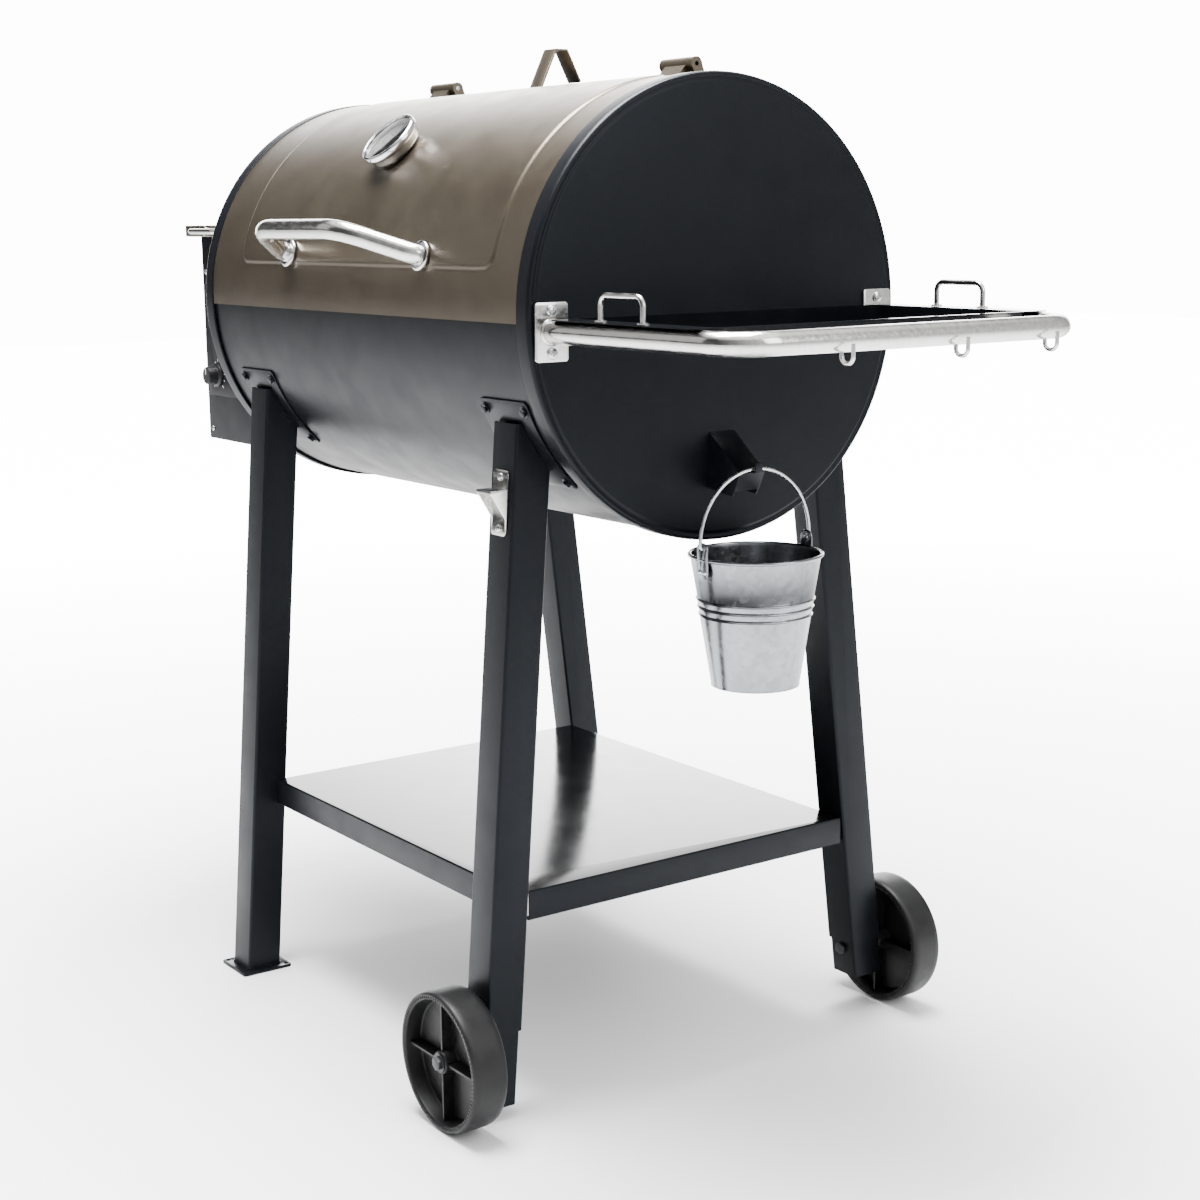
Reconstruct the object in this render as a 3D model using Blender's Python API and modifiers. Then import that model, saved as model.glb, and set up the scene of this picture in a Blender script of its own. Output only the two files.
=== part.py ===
"""Pellet smoker grill: a barrel cooker on four legs with a pellet hopper, side rail, shelf and wheels.

Units are metres and +Z is up. Every measure below is taken from the barrel's axis at the outer face of
its right end: x runs along the axis to the right, y to the back, z up. ORIGIN then moves the whole grill
so that its footprint is centred on the world origin and it stands on z = 0.
"""

import math

import bmesh
import bpy
from mathutils import Matrix, Vector

# ------------------------------------------------------------------ driving dimensions

FLOOR = -0.918
ORIGIN = Vector((0.33891, -0.00937, -FLOOR))
GAP = 0.0003

# Barrel
BARREL_LENGTH = 0.797
RIM_RADIUS = 0.260
RIM_DEPTH = 0.024
CAP_SHEET = 0.002
SHELL_OUTER = 0.2560
SHELL_INNER = 0.2540
SHELL_LEFT = -BARREL_LENGTH + CAP_SHEET + GAP
SHELL_RIGHT = -CAP_SHEET - GAP
ROUND = 64
WELD = 0.00001

# Lid, with angles in degrees measured up from the front
LID_INNER = 0.2566
LID_OUTER = 0.2586
LID_LEFT = -0.7725
LID_RIGHT = -0.0245
LID_FRONT_ANGLE = -1.5
LID_BACK_ANGLE = 101.0
PRESSED_RADIUS = 0.2604
PRESSED_LEFT = -0.693
PRESSED_RIGHT = -0.074
PRESSED_FROM = 10.5
PRESSED_TO = 88.0
OPENING_LEFT = -0.757
OPENING_RIGHT = -0.040
OPENING_FROM = 3.0
OPENING_TO = 97.0
LEDGE_X = (-0.750, -0.045)
LEDGE_Y = (0.2365, 0.2530)
LEDGE_Z = -0.036
LEDGE_SHEET = 0.002
SMOKE_SLOT = ((-0.500, 0.200, 0.045), (-0.300, 0.300, 0.070))
SPOUT_SLOT = ((-0.010, -0.0165, -0.176), (0.010, 0.0165, -0.147))
TRAY_STOP_Y = (-0.064, 0.060)
TRAY_STOP_Z = (-0.135, -0.1155)
TRAY_REST = ((-0.7962, -0.0310, -0.0815), (-0.7700, 0.0290, -0.0790))
SMOOTH_ANGLE = math.radians(30)

# Lid hinges
HINGE_Y = 0.060
HINGE_Z = 0.277
HINGE_CENTRES = {"left": -0.680, "right": -0.152}
HINGE_HALF = 0.031
HINGE_SHEET = 0.0028
LEAF_ANGLES = (104, 117)
KNUCKLE_ANGLES = (91, 100.5)
KNUCKLE_NECK = [(0.036, 0.2580), (0.0470, 0.2560), (0.0600, 0.2700), (0.0535, 0.2770)]
LEAF_WEB = [(0.0640, 0.2495), (0.0800, 0.2455), (0.0680, 0.2770), (0.0520, 0.2770)]
STOP_LINE = [(0.003, 0.2606), (0.019, 0.2600), (0.043, 0.3095), (0.060, 0.3095), (0.080, 0.2710)]
STOP_SHEET = 0.003
STOP_HALF = 0.013
KNUCKLE_HALF = 0.0195
KNUCKLE_RADIUS = 0.008
PIN_RADIUS = 0.004

# Lid handle
HANDLE_CENTRE = -0.389
HANDLE_HALF = 0.163
HANDLE_STRAIGHT_HALF = 0.100
HANDLE_RADIUS = 0.012
HANDLE_ANGLE = 13.8
HANDLE_Y = -0.324
HANDLE_Z = 0.093

# Dial thermometer
GAUGE_X = -0.392
GAUGE_ANGLE = 45.2
BEZEL_RADIUS = 0.039
GLASS_RADIUS = 0.0343
DIAL_Z = (0.0083, 0.0095)
NEEDLE_Z = (0.0120, 0.0128)
GLASS_Z = (0.0180, 0.0195)
STEM_RADIUS = 0.0060
STEM_LENGTH = 0.060

# Pellet hopper
HOPPER_LEFT = -1.000
HOPPER_RIGHT = -0.7985
HOPPER_HALF = 0.170
HOPPER_BOTTOM = -0.213
HOPPER_TOP = 0.094
HOPPER_SHEET = 0.002
HOPPER_LID_LEFT = -1.012
HOPPER_LID_FRONT = -0.188
HOPPER_LID_SKIRT = 0.0803
HOPPER_LID_TOP = 0.0963
HOPPER_PIN_Y = 0.1785
HOPPER_PIN_Z = 0.0935
HOPPER_HINGE_X = (-0.992, -0.810)
HOPPER_KNUCKLE_X = (-0.980, -0.822)
HOPPER_KNUCKLE_RADIUS = 0.0050
HOPPER_PIN_RADIUS = 0.0025
VENT_X = (-0.905, -0.835)
VENT_TOP = -0.100
VENT_PITCH = 0.018
VENT_HALF = 0.004
EXHAUST_X = (-0.530, -0.270)
EXHAUST_Z = (0.028, 0.092)
EXHAUST_BACK = 0.300

# Controls on the hopper
INLET_X = (-0.946, -0.914)
INLET_Z = (-0.197, -0.169)
PANEL_X = (-0.991, -0.812)
PANEL_Z = (-0.148, -0.052)
PANEL_FACE = -HOPPER_HALF - GAP - 0.003
DISPLAY_X = (-0.929, -0.871)
DISPLAY_Z = (-0.094, -0.066)
KNOB_X = -0.953
KNOB_Z = -0.118
KNOB_HOLE = 0.0035
BUTTON_X = -0.878
BUTTON_Z = -0.125
BUTTON_HOLE = 0.0065

# Pellet feed and fire
AUGER_Z = -0.180
AUGER_TUBE_OUTER = 0.026
AUGER_TUBE_INNER = 0.024
AUGER_LEFT = -0.940
AUGER_RIGHT = -0.4805
POT_X = -0.430
POT_RADIUS = 0.050
POT_TOP = -0.150
POT_BOTTOM = -0.236
IGNITER_Z = -0.222
IGNITER_RADIUS = 0.0048
IGNITER_HOLE = 0.0053
IGNITER_HEAD = 0.0085
DUCT_Y = (0.060, 0.086)
DUCT_Z = (-0.173, -0.137)
FAN_X = -0.905
FAN_DEPTH = 0.045
FAN_Y = 0.110
FAN_Z = -0.155
FAN_RADIUS = 0.045

# Legs: square tube, seen from the side the front pair and the back pair splay differently
LEG = 0.048
LEG_WALL = 0.002
LEG_X = {"left": -0.690, "right": -0.084}
LEG_TOP = -0.117
LEG_TOP_Y = {"front": -0.213, "rear": 0.207}
LEG_SLOPE = {"front": -0.0806, "rear": 0.115}
RIGHT_LEG_END = {"front": -0.813, "rear": -0.826}
SLEEVE_END = {"front": -0.902, "rear": -0.872}
FOOT_HALF = 0.036
FOOT_THICK = 0.004

# Wheels
WHEEL_RADIUS = 0.082
WHEEL_WIDTH = 0.045
WHEEL_GAP = 0.006
AXLE_Z = FLOOR + WHEEL_RADIUS
AXLE_RADIUS = 0.005

# Shelf
SHELF_TOP = -0.650
SHELF_RAIL = 0.035
SHELF_SHEET = 0.0015
SHELF_X = (-0.6657, -0.0620)
SHELF_Y = (-0.2470, 0.2440)

# Side rail and serving tray
RAIL_Y = 0.232
RAIL_Z = -0.015
RAIL_REACH = 0.312
RAIL_RADIUS = 0.0125
RAIL_BEND = 0.045
RAIL_PLATE = (0.042, 0.063, 0.003)
TRAY_X = (0.014, 0.262)
TRAY_HANDLE_X = 0.134

# Grease spout and bucket
SPOUT_HALF = 0.018
HOOK_X = 0.0600
BAIL_TOP = -0.1730
BAIL_RADIUS = 0.0785
BAIL_WIRE = 0.0020
EAR_Z = -0.256
BUCKET_RIM_Z = -0.266
BUCKET_BOTTOM_Z = -0.418
BUCKET_RIM_RADIUS = 0.0740
BUCKET_BOTTOM_RADIUS = 0.0497
BUCKET_SHEET = 0.0012


# ------------------------------------------------------------------ clear the scene

for old in list(bpy.data.objects):
    bpy.data.objects.remove(old, do_unlink=True)

GRILL = bpy.data.collections.new("pellet_smoker_grill")
CUTTERS = bpy.data.collections.new("cutters")
bpy.context.scene.collection.children.link(GRILL)
bpy.context.scene.collection.children.link(CUTTERS)
CUTTERS.hide_render = True

# Colour, metallic and roughness of each finish
FINISH = {
    "black_paint": ((0.012, 0.013, 0.016), 0.2, 0.42),
    "bronze_paint": ((0.16, 0.14, 0.12), 0.6, 0.36),
    "stainless": ((0.62, 0.61, 0.59), 1.0, 0.22),
    "galvanised": ((0.58, 0.59, 0.60), 1.0, 0.32),
    "zinc": ((0.66, 0.67, 0.68), 1.0, 0.35),
    "chrome": ((0.75, 0.75, 0.76), 1.0, 0.10),
    "dark_steel": ((0.09, 0.09, 0.095), 0.9, 0.45),
    "plastic": ((0.018, 0.018, 0.020), 0.0, 0.50),
    "white": ((0.80, 0.80, 0.78), 0.0, 0.40),
    "glass": ((0.85, 0.90, 0.92), 0.0, 0.05),
    "enamel": ((0.02, 0.02, 0.022), 0.1, 0.25),
    "red": ((0.60, 0.03, 0.02), 0.0, 0.40),
}


# ------------------------------------------------------------------ helpers


def place(name, bm, finish, pivot=(0.0, 0.0, 0.0), collection=GRILL):
    """Turn a mesh built in barrel coordinates into an object whose origin is the pivot."""
    bmesh.ops.recalc_face_normals(bm, faces=bm.faces)
    pivot = Vector(pivot)
    bmesh.ops.translate(bm, verts=bm.verts, vec=-pivot)
    mesh = bpy.data.meshes.new(name)
    bm.to_mesh(mesh)
    bm.free()
    obj = bpy.data.objects.new(name, mesh)
    obj.location = pivot + ORIGIN
    collection.objects.link(obj)
    if finish:
        colour, metallic, roughness = FINISH[finish]
        material = bpy.data.materials.new(name)
        material.use_nodes = True
        shader = material.node_tree.nodes["Principled BSDF"]
        shader.inputs["Base Color"].default_value = (*colour, 1.0)
        shader.inputs["Metallic"].default_value = metallic
        shader.inputs["Roughness"].default_value = roughness
        mesh.materials.append(material)
    return obj


def combine(obj, bm, operation):
    """Give an object an exact Boolean with a helper mesh built in barrel coordinates."""
    helper = place(f"{obj.name}_{operation.lower()}_{len(obj.modifiers)}", bm, None, collection=CUTTERS)
    helper.hide_render = True
    helper.display_type = "WIRE"
    step = obj.modifiers.new(operation.lower(), "BOOLEAN")
    step.operation = operation
    step.solver = "EXACT"
    step.object = helper


def cut(obj, bm):
    combine(obj, bm, "DIFFERENCE")


def add(obj, bm):
    combine(obj, bm, "UNION")


def block(low, high, bm=None):
    """A box between two corners."""
    bm = bm or bmesh.new()
    low, high = Vector(low), Vector(high)
    made = bmesh.ops.create_cube(bm, size=1.0)["verts"]
    for vert in made:
        vert.co = Vector([low[i] + (vert.co[i] + 0.5) * (high[i] - low[i]) for i in range(3)])
    return bm


def skin(rings):
    """A loft: rings of points joined one to the next, with flat ends."""
    bm = bmesh.new()
    verts = [[bm.verts.new(point) for point in ring] for ring in rings]
    count = len(rings[0])
    for here, there in zip(verts, verts[1:]):
        for j in range(count):
            k = (j + 1) % count
            bm.faces.new((here[j], here[k], there[k], there[j]))
    bm.faces.new(verts[0])
    bm.faces.new(verts[-1])
    return bm


def evaluated(obj, bm):
    """Add the finished mesh of a curve or modified object to bm, welded, and remove the object."""
    CUTTERS.objects.link(obj)
    graph = bpy.context.evaluated_depsgraph_get()
    mesh = bpy.data.meshes.new_from_object(obj.evaluated_get(graph))
    bpy.data.objects.remove(obj, do_unlink=True)
    bm = bm or bmesh.new()
    before = len(bm.verts)
    bm.from_mesh(mesh)
    bm.verts.ensure_lookup_table()
    made = bm.verts[before:]
    bmesh.ops.remove_doubles(bm, verts=made, dist=WELD)
    bm.verts.ensure_lookup_table()
    return bm, bm.verts[before:]


# Where a shape's own x, y and z go when its z is laid along an axis
LAID_ALONG = {
    "x": Matrix(((0, 0, 1, 0), (1, 0, 0, 0), (0, 1, 0, 0), (0, 0, 0, 1))),
    "y": Matrix(((1, 0, 0, 0), (0, 0, 1, 0), (0, 1, 0, 0), (0, 0, 0, 1))),
    "z": Matrix.Identity(4),
}


def prism(outline, axis, low, high, bm=None):
    """A flat outline, filled and extruded along an axis."""
    curve = bpy.data.curves.new("outline", "CURVE")
    curve.dimensions = "2D"
    curve.fill_mode = "BOTH"
    curve.extrude = (high - low) / 2
    spline = curve.splines.new("POLY")
    spline.points.add(len(outline) - 1)
    for point, (u, v) in zip(spline.points, outline):
        point.co = (u, v, 0.0, 1.0)
    spline.use_cyclic_u = True
    bm, made = evaluated(bpy.data.objects.new("outline", curve), bm)
    lift = Matrix.Translation((0.0, 0.0, (high + low) / 2))
    bmesh.ops.transform(bm, matrix=LAID_ALONG[axis] @ lift, verts=made)
    return bm


def rod(axis, centre, radius, low, high, count=16, bm=None):
    """A round bar along an axis."""
    bm = bm or bmesh.new()
    place_at = LAID_ALONG[axis] @ Matrix.Translation((*centre, (high + low) / 2))
    bmesh.ops.create_cone(
        bm,
        cap_ends=True,
        segments=count,
        radius1=radius,
        radius2=radius,
        depth=abs(high - low),
        matrix=place_at,
    )
    return bm


def turned(profile, axis, centre, count, bm=None):
    """A profile of (radius, along) points turned round an axis; radius 0 ends close on the axis."""
    mesh = bpy.data.meshes.new("profile")
    edges = [(i, i + 1) for i in range(len(profile) - 1)]
    if profile[0][0] > 0.0:
        edges.append((len(profile) - 1, 0))
    mesh.from_pydata([(radius, 0.0, along) for radius, along in profile], edges, [])
    obj = bpy.data.objects.new("profile", mesh)
    screw = obj.modifiers.new("screw", "SCREW")
    screw.steps = count
    screw.render_steps = count
    screw.use_merge_vertices = True
    screw.merge_threshold = WELD
    bm, made = evaluated(obj, bm)
    bmesh.ops.transform(bm, matrix=LAID_ALONG[axis] @ Matrix.Translation((*centre, 0.0)), verts=made)
    return bm


def at_angle(radius, degrees):
    """The y and z of a point on the barrel at an angle measured up from the front."""
    angle = math.radians(degrees)
    return (-radius * math.cos(angle), radius * math.sin(angle))


def arc_sheet(low, high, inner, outer, start, end, steps, bm=None):
    """A curved sheet lying on the barrel between two angles."""
    angles = [start + (end - start) * i / steps for i in range(steps + 1)]
    outline = [at_angle(outer, a) for a in angles]
    outline += [at_angle(inner, a) for a in reversed(angles)]
    return prism(outline, "x", low, high, bm)


def pipe(path, radius, resolution=2, bm=None):
    """A round tube along a path of points, as a bevelled curve with closed ends."""
    curve = bpy.data.curves.new("pipe", "CURVE")
    curve.dimensions = "3D"
    curve.bevel_depth = radius
    curve.bevel_resolution = resolution
    curve.use_fill_caps = True
    spline = curve.splines.new("POLY")
    spline.points.add(len(path) - 1)
    for point, place_at in zip(spline.points, path):
        point.co = (*place_at, 1.0)
    return evaluated(bpy.data.objects.new("pipe", curve), bm)[0]


def fillet(path, radii, steps=5):
    """The same path with each inner corner rounded to its radius."""
    path = [Vector(p) for p in path]
    rounded = [path[0]]
    for before, corner, after, radius in zip(path, path[1:], path[2:], radii):
        to_before = (before - corner).normalized()
        to_after = (after - corner).normalized()
        half = 0.5 * to_before.angle(to_after)
        reach = radius / math.tan(half)
        start = corner + to_before * reach
        end = corner + to_after * reach
        centre = corner + (to_before + to_after).normalized() * (radius / math.sin(half))
        for i in range(steps + 1):
            blend = (start - centre).lerp(end - centre, i / steps).normalized()
            rounded.append(centre + blend * radius)
    rounded.append(path[-1])
    return rounded


def strap(points, thickness):
    """The outline of a bent flat strip whose middle line passes through the points."""
    points = [Vector((*p, 0.0)) for p in points]
    sides = ([], [])
    for i, point in enumerate(points):
        before = points[max(i - 1, 0)]
        after = points[min(i + 1, len(points) - 1)]
        along_in = (point - before).normalized() if i else (after - point).normalized()
        along_out = (after - point).normalized() if i < len(points) - 1 else along_in
        normal = Vector((-(along_in + along_out).y, (along_in + along_out).x, 0.0)).normalized()
        straight = Vector((-along_in.y, along_in.x, 0.0))
        reach = 0.5 * thickness / max(normal.dot(straight), 0.3)
        sides[0].append(tuple((point + normal * reach)[:2]))
        sides[1].append(tuple((point - normal * reach)[:2]))
    return sides[0] + sides[1][::-1]


def moved(bm, matrix):
    """The same mesh after a rigid move."""
    bmesh.ops.transform(bm, matrix=matrix, verts=bm.verts)
    return bm


def bevel(obj, width, segments=1):
    """Round the sharp edges of an object."""
    step = obj.modifiers.new("bevel", "BEVEL")
    step.width = width
    step.segments = segments
    step.limit_method = "ANGLE"
    step.angle_limit = math.radians(50)


# ------------------------------------------------------------------ barrel

barrel_shell = place(
    "barrel_shell",
    turned(
        [
            (SHELL_OUTER, SHELL_LEFT),
            (SHELL_OUTER, SHELL_RIGHT),
            (SHELL_INNER, SHELL_RIGHT),
            (SHELL_INNER, SHELL_LEFT),
        ],
        "x",
        (0.0, 0.0),
        ROUND,
    ),
    "black_paint",
)
cut(
    barrel_shell,
    arc_sheet(OPENING_LEFT, OPENING_RIGHT, 0.20, 0.30, OPENING_FROM, OPENING_TO, 12),
)
for side in (-1, 1):
    ledge_y = sorted((side * LEDGE_Y[0], side * LEDGE_Y[1]))
    ledge = block((LEDGE_X[0], ledge_y[0], LEDGE_Z), (LEDGE_X[1], ledge_y[1], LEDGE_Z + LEDGE_SHEET))
    add(barrel_shell, ledge)
cut(barrel_shell, block(*SMOKE_SLOT))


def cap_profile(outer_face, inward):
    """A pressed end pan: flat disc, rounded shoulder and a rim that wraps the shell."""
    return [
        (0.0, outer_face),
        (RIM_RADIUS - 0.0060, outer_face),
        (RIM_RADIUS - 0.0016, outer_face + inward * 0.0015),
        (RIM_RADIUS, outer_face + inward * 0.0055),
        (RIM_RADIUS, outer_face + inward * RIM_DEPTH),
        (SHELL_OUTER + GAP, outer_face + inward * RIM_DEPTH),
        (SHELL_OUTER + GAP, outer_face + inward * CAP_SHEET),
        (0.0, outer_face + inward * CAP_SHEET),
    ]


right_end_cap = place(
    "right_end_cap", turned(cap_profile(0.0, -1), "x", (0.0, 0.0), ROUND), "black_paint"
)
cut(right_end_cap, block(*SPOUT_SLOT))
for y in TRAY_STOP_Y:
    add(right_end_cap, block((-0.0300, y, TRAY_STOP_Z[0]), (-0.0010, y + 0.004, TRAY_STOP_Z[1])))

left_end_cap = place(
    "left_end_cap", turned(cap_profile(-BARREL_LENGTH, 1), "x", (0.0, 0.0), ROUND), "black_paint"
)


def feed_openings(low, high):
    """Cutters for the auger tube, igniter and air duct through an upright wall."""
    bm = rod("x", (0.0, AUGER_Z), AUGER_TUBE_OUTER + GAP, low, high, 20)
    rod("x", (0.0, IGNITER_Z), IGNITER_HOLE, low, high, 8, bm)
    block((low, DUCT_Y[0] - GAP, DUCT_Z[0] - GAP), (high, DUCT_Y[1] + GAP, DUCT_Z[1] + GAP), bm)
    return bm


add(left_end_cap, block(*TRAY_REST))
cut(left_end_cap, feed_openings(-0.810, -0.785))

rear_exhaust_duct = place(
    "rear_exhaust_duct",
    block((EXHAUST_X[0], 0.200, EXHAUST_Z[0]), (EXHAUST_X[1], EXHAUST_BACK, EXHAUST_Z[1])),
    "black_paint",
)
cut(rear_exhaust_duct, rod("x", (0.0, 0.0), SHELL_OUTER + 0.0006, -0.6, -0.2, ROUND))
cut(
    rear_exhaust_duct,
    block(
        (EXHAUST_X[0] + CAP_SHEET, 0.190, EXHAUST_Z[0] - 0.018),
        (EXHAUST_X[1] - CAP_SHEET, EXHAUST_BACK - CAP_SHEET, EXHAUST_Z[1] - CAP_SHEET),
    ),
)

# ------------------------------------------------------------------ lid

LID_PIVOT = (0.5 * (LID_LEFT + LID_RIGHT), HINGE_Y, HINGE_Z)
lid_panel = place(
    "lid_panel",
    arc_sheet(LID_LEFT, LID_RIGHT, LID_INNER, LID_OUTER, LID_FRONT_ANGLE, LID_BACK_ANGLE, 28),
    "bronze_paint",
    LID_PIVOT,
)
add(
    lid_panel,
    arc_sheet(
        PRESSED_LEFT, PRESSED_RIGHT, LID_INNER + 0.001, PRESSED_RADIUS, PRESSED_FROM, PRESSED_TO, 22
    ),
)
GAUGE_TURN = Matrix.Rotation(math.radians(90.0 - GAUGE_ANGLE), 4, "X")
GAUGE_SEAT = PRESSED_RADIUS + GAP
GAUGE_PLACE = Matrix.Translation(
    Vector((GAUGE_X, *at_angle(GAUGE_SEAT, GAUGE_ANGLE)))
) @ GAUGE_TURN
cut(lid_panel, moved(rod("z", (0.0, 0.0), 0.0064, -0.02, 0.02, 12), GAUGE_PLACE))

HANDLE_SEAT = PRESSED_RADIUS + GAP
handle_path = [
    (HANDLE_CENTRE - HANDLE_HALF, *at_angle(HANDLE_SEAT + 0.0010, HANDLE_ANGLE)),
    (HANDLE_CENTRE - HANDLE_HALF, *at_angle(HANDLE_SEAT + 0.0110, HANDLE_ANGLE)),
    (HANDLE_CENTRE - HANDLE_STRAIGHT_HALF, HANDLE_Y, HANDLE_Z),
    (HANDLE_CENTRE + HANDLE_STRAIGHT_HALF, HANDLE_Y, HANDLE_Z),
    (HANDLE_CENTRE + HANDLE_HALF, *at_angle(HANDLE_SEAT + 0.0110, HANDLE_ANGLE)),
    (HANDLE_CENTRE + HANDLE_HALF, *at_angle(HANDLE_SEAT + 0.0010, HANDLE_ANGLE)),
]
lid_handle = place(
    "lid_handle",
    pipe(fillet(handle_path, (0.022, 0.060, 0.060, 0.022)), HANDLE_RADIUS, 5),
    "stainless",
    LID_PIVOT,
)
collar_turn = Matrix.Rotation(math.radians(90.0 - HANDLE_ANGLE), 4, "X")
for side in (-1, 1):
    seat = Vector((HANDLE_CENTRE + side * HANDLE_HALF, *at_angle(HANDLE_SEAT, HANDLE_ANGLE)))
    collar = turned(
        [(0.0, 0.0), (0.0160, 0.0), (0.0175, 0.0020), (0.0165, 0.0050), (0.0, 0.0050)],
        "z",
        (0.0, 0.0),
        20,
    )
    add(lid_handle, moved(collar, Matrix.Translation(seat) @ collar_turn))

stop_middle = 0.5 * (PRESSED_LEFT + PRESSED_RIGHT) - 0.0145
lid_stop_bracket = place(
    "lid_stop_bracket",
    prism(
        strap(STOP_LINE, STOP_SHEET),
        "x",
        stop_middle - STOP_HALF,
        stop_middle + STOP_HALF,
    ),
    "bronze_paint",
    LID_PIVOT,
)

for side, middle in HINGE_CENTRES.items():
    pivot = (middle, HINGE_Y, HINGE_Z)
    knuckle = place(
        f"{side}_hinge_knuckle",
        arc_sheet(
            middle - KNUCKLE_HALF,
            middle + KNUCKLE_HALF,
            LID_OUTER + GAP,
            LID_OUTER + HINGE_SHEET,
            *KNUCKLE_ANGLES,
            4,
        ),
        "bronze_paint",
        pivot,
    )
    add(knuckle, prism(KNUCKLE_NECK, "x", middle - KNUCKLE_HALF, middle + KNUCKLE_HALF))
    add(
        knuckle,
        rod("x", (HINGE_Y, HINGE_Z), KNUCKLE_RADIUS, middle - KNUCKLE_HALF, middle + KNUCKLE_HALF, 16),
    )
    cut(knuckle, rod("x", (HINGE_Y, HINGE_Z), PIN_RADIUS + GAP, middle - 0.04, middle + 0.04, 12))

    leaf = place(
        f"{side}_hinge_leaf",
        arc_sheet(
            middle - HINGE_HALF,
            middle + HINGE_HALF,
            SHELL_OUTER + GAP,
            SHELL_OUTER + HINGE_SHEET,
            *LEAF_ANGLES,
            5,
        ),
        "bronze_paint",
        pivot,
    )
    for end in (-1, 1):
        ear_x = sorted((middle + end * (KNUCKLE_HALF + GAP), middle + end * HINGE_HALF))
        add(leaf, prism(LEAF_WEB, "x", *ear_x))
        add(leaf, rod("x", (HINGE_Y, HINGE_Z), KNUCKLE_RADIUS, *ear_x, 16))
    add(leaf, rod("x", (HINGE_Y, HINGE_Z), PIN_RADIUS, middle - HINGE_HALF, middle + HINGE_HALF, 12))

# ------------------------------------------------------------------ dial thermometer

gauge_origin = GAUGE_PLACE.to_translation()
gauge_housing = place(
    "gauge_housing",
    moved(
        turned(
            [
                (0.0, 0.0),
                (0.030, 0.0),
                (0.035, 0.0040),
                (0.036, 0.0130),
                (BEZEL_RADIUS, 0.0145),
                (BEZEL_RADIUS, 0.0200),
                (0.0375, 0.0225),
                (0.0350, 0.0225),
                (GLASS_RADIUS + GAP, 0.0200),
                (GLASS_RADIUS + GAP, 0.0080),
                (0.0, 0.0080),
            ],
            "z",
            (0.0, 0.0),
            24,
        ),
        GAUGE_PLACE,
    ),
    "chrome",
    gauge_origin,
)
add(gauge_housing, moved(rod("z", (0.0, 0.0), STEM_RADIUS, -STEM_LENGTH, 0.004, 12), GAUGE_PLACE))
gauge_dial = place(
    "gauge_dial",
    moved(rod("z", (0.0, 0.0), GLASS_RADIUS, *DIAL_Z, 24), GAUGE_PLACE),
    "white",
    gauge_origin,
)
needle_outline = [
    (-0.0014, -0.0080),
    (0.0014, -0.0080),
    (0.0012, 0.0150),
    (0.0003, 0.0270),
    (-0.0003, 0.0270),
    (-0.0012, 0.0150),
]
gauge_needle = place(
    "gauge_needle",
    moved(prism(needle_outline, "z", *NEEDLE_Z), GAUGE_PLACE),
    "dark_steel",
    gauge_origin,
)
add(gauge_needle, moved(rod("z", (0.0, 0.0), 0.0030, 0.0098, 0.0138, 12), GAUGE_PLACE))
gauge_glass = place(
    "gauge_glass",
    moved(rod("z", (0.0, 0.0), GLASS_RADIUS, *GLASS_Z, 24), GAUGE_PLACE),
    "glass",
    gauge_origin,
)

# ------------------------------------------------------------------ pellet hopper

hopper_box = place(
    "hopper_box",
    block((HOPPER_LEFT, -HOPPER_HALF, HOPPER_BOTTOM), (HOPPER_RIGHT, HOPPER_HALF, HOPPER_TOP)),
    "black_paint",
)
cut(
    hopper_box,
    block(
        (HOPPER_LEFT + HOPPER_SHEET, -HOPPER_HALF + HOPPER_SHEET, HOPPER_BOTTOM + HOPPER_SHEET),
        (HOPPER_RIGHT - HOPPER_SHEET, HOPPER_HALF - HOPPER_SHEET, HOPPER_TOP + 0.05),
    ),
)
cut(hopper_box, feed_openings(-0.803, -0.790))
wall_holes = rod("y", (KNOB_X, KNOB_Z), KNOB_HOLE, -0.180, -0.160, 10)
rod("y", (BUTTON_X, BUTTON_Z), BUTTON_HOLE, -0.180, -0.160, 12, wall_holes)
block((INLET_X[0], 0.160, INLET_Z[0]), (INLET_X[1], 0.180, INLET_Z[1]), wall_holes)
for i in range(4):
    slot = VENT_TOP - VENT_PITCH * i
    block((VENT_X[0], 0.160, slot - VENT_HALF), (VENT_X[1], 0.180, slot + VENT_HALF), wall_holes)
cut(hopper_box, wall_holes)


def frustum(top, top_z, bottom, bottom_z):
    """A four-sided funnel solid between two level rectangles (x0, x1, half y)."""
    rings = []
    for (x0, x1, half), z in ((bottom, bottom_z), (top, top_z)):
        rings.append([Vector((x, y, z)) for x, y in ((x0, -half), (x1, -half), (x1, half), (x0, half))])
    return skin(rings)


hopper_chute = place(
    "hopper_chute",
    frustum((-0.9975, -0.8010, 0.1675), 0.010, (-0.9250, -0.8350, 0.0220), -0.1535),
    "dark_steel",
)
cut(
    hopper_chute,
    frustum((-0.9955, -0.8030, 0.1655), 0.0105, (-0.9225, -0.8375, 0.0195), -0.1545),
)

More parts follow.
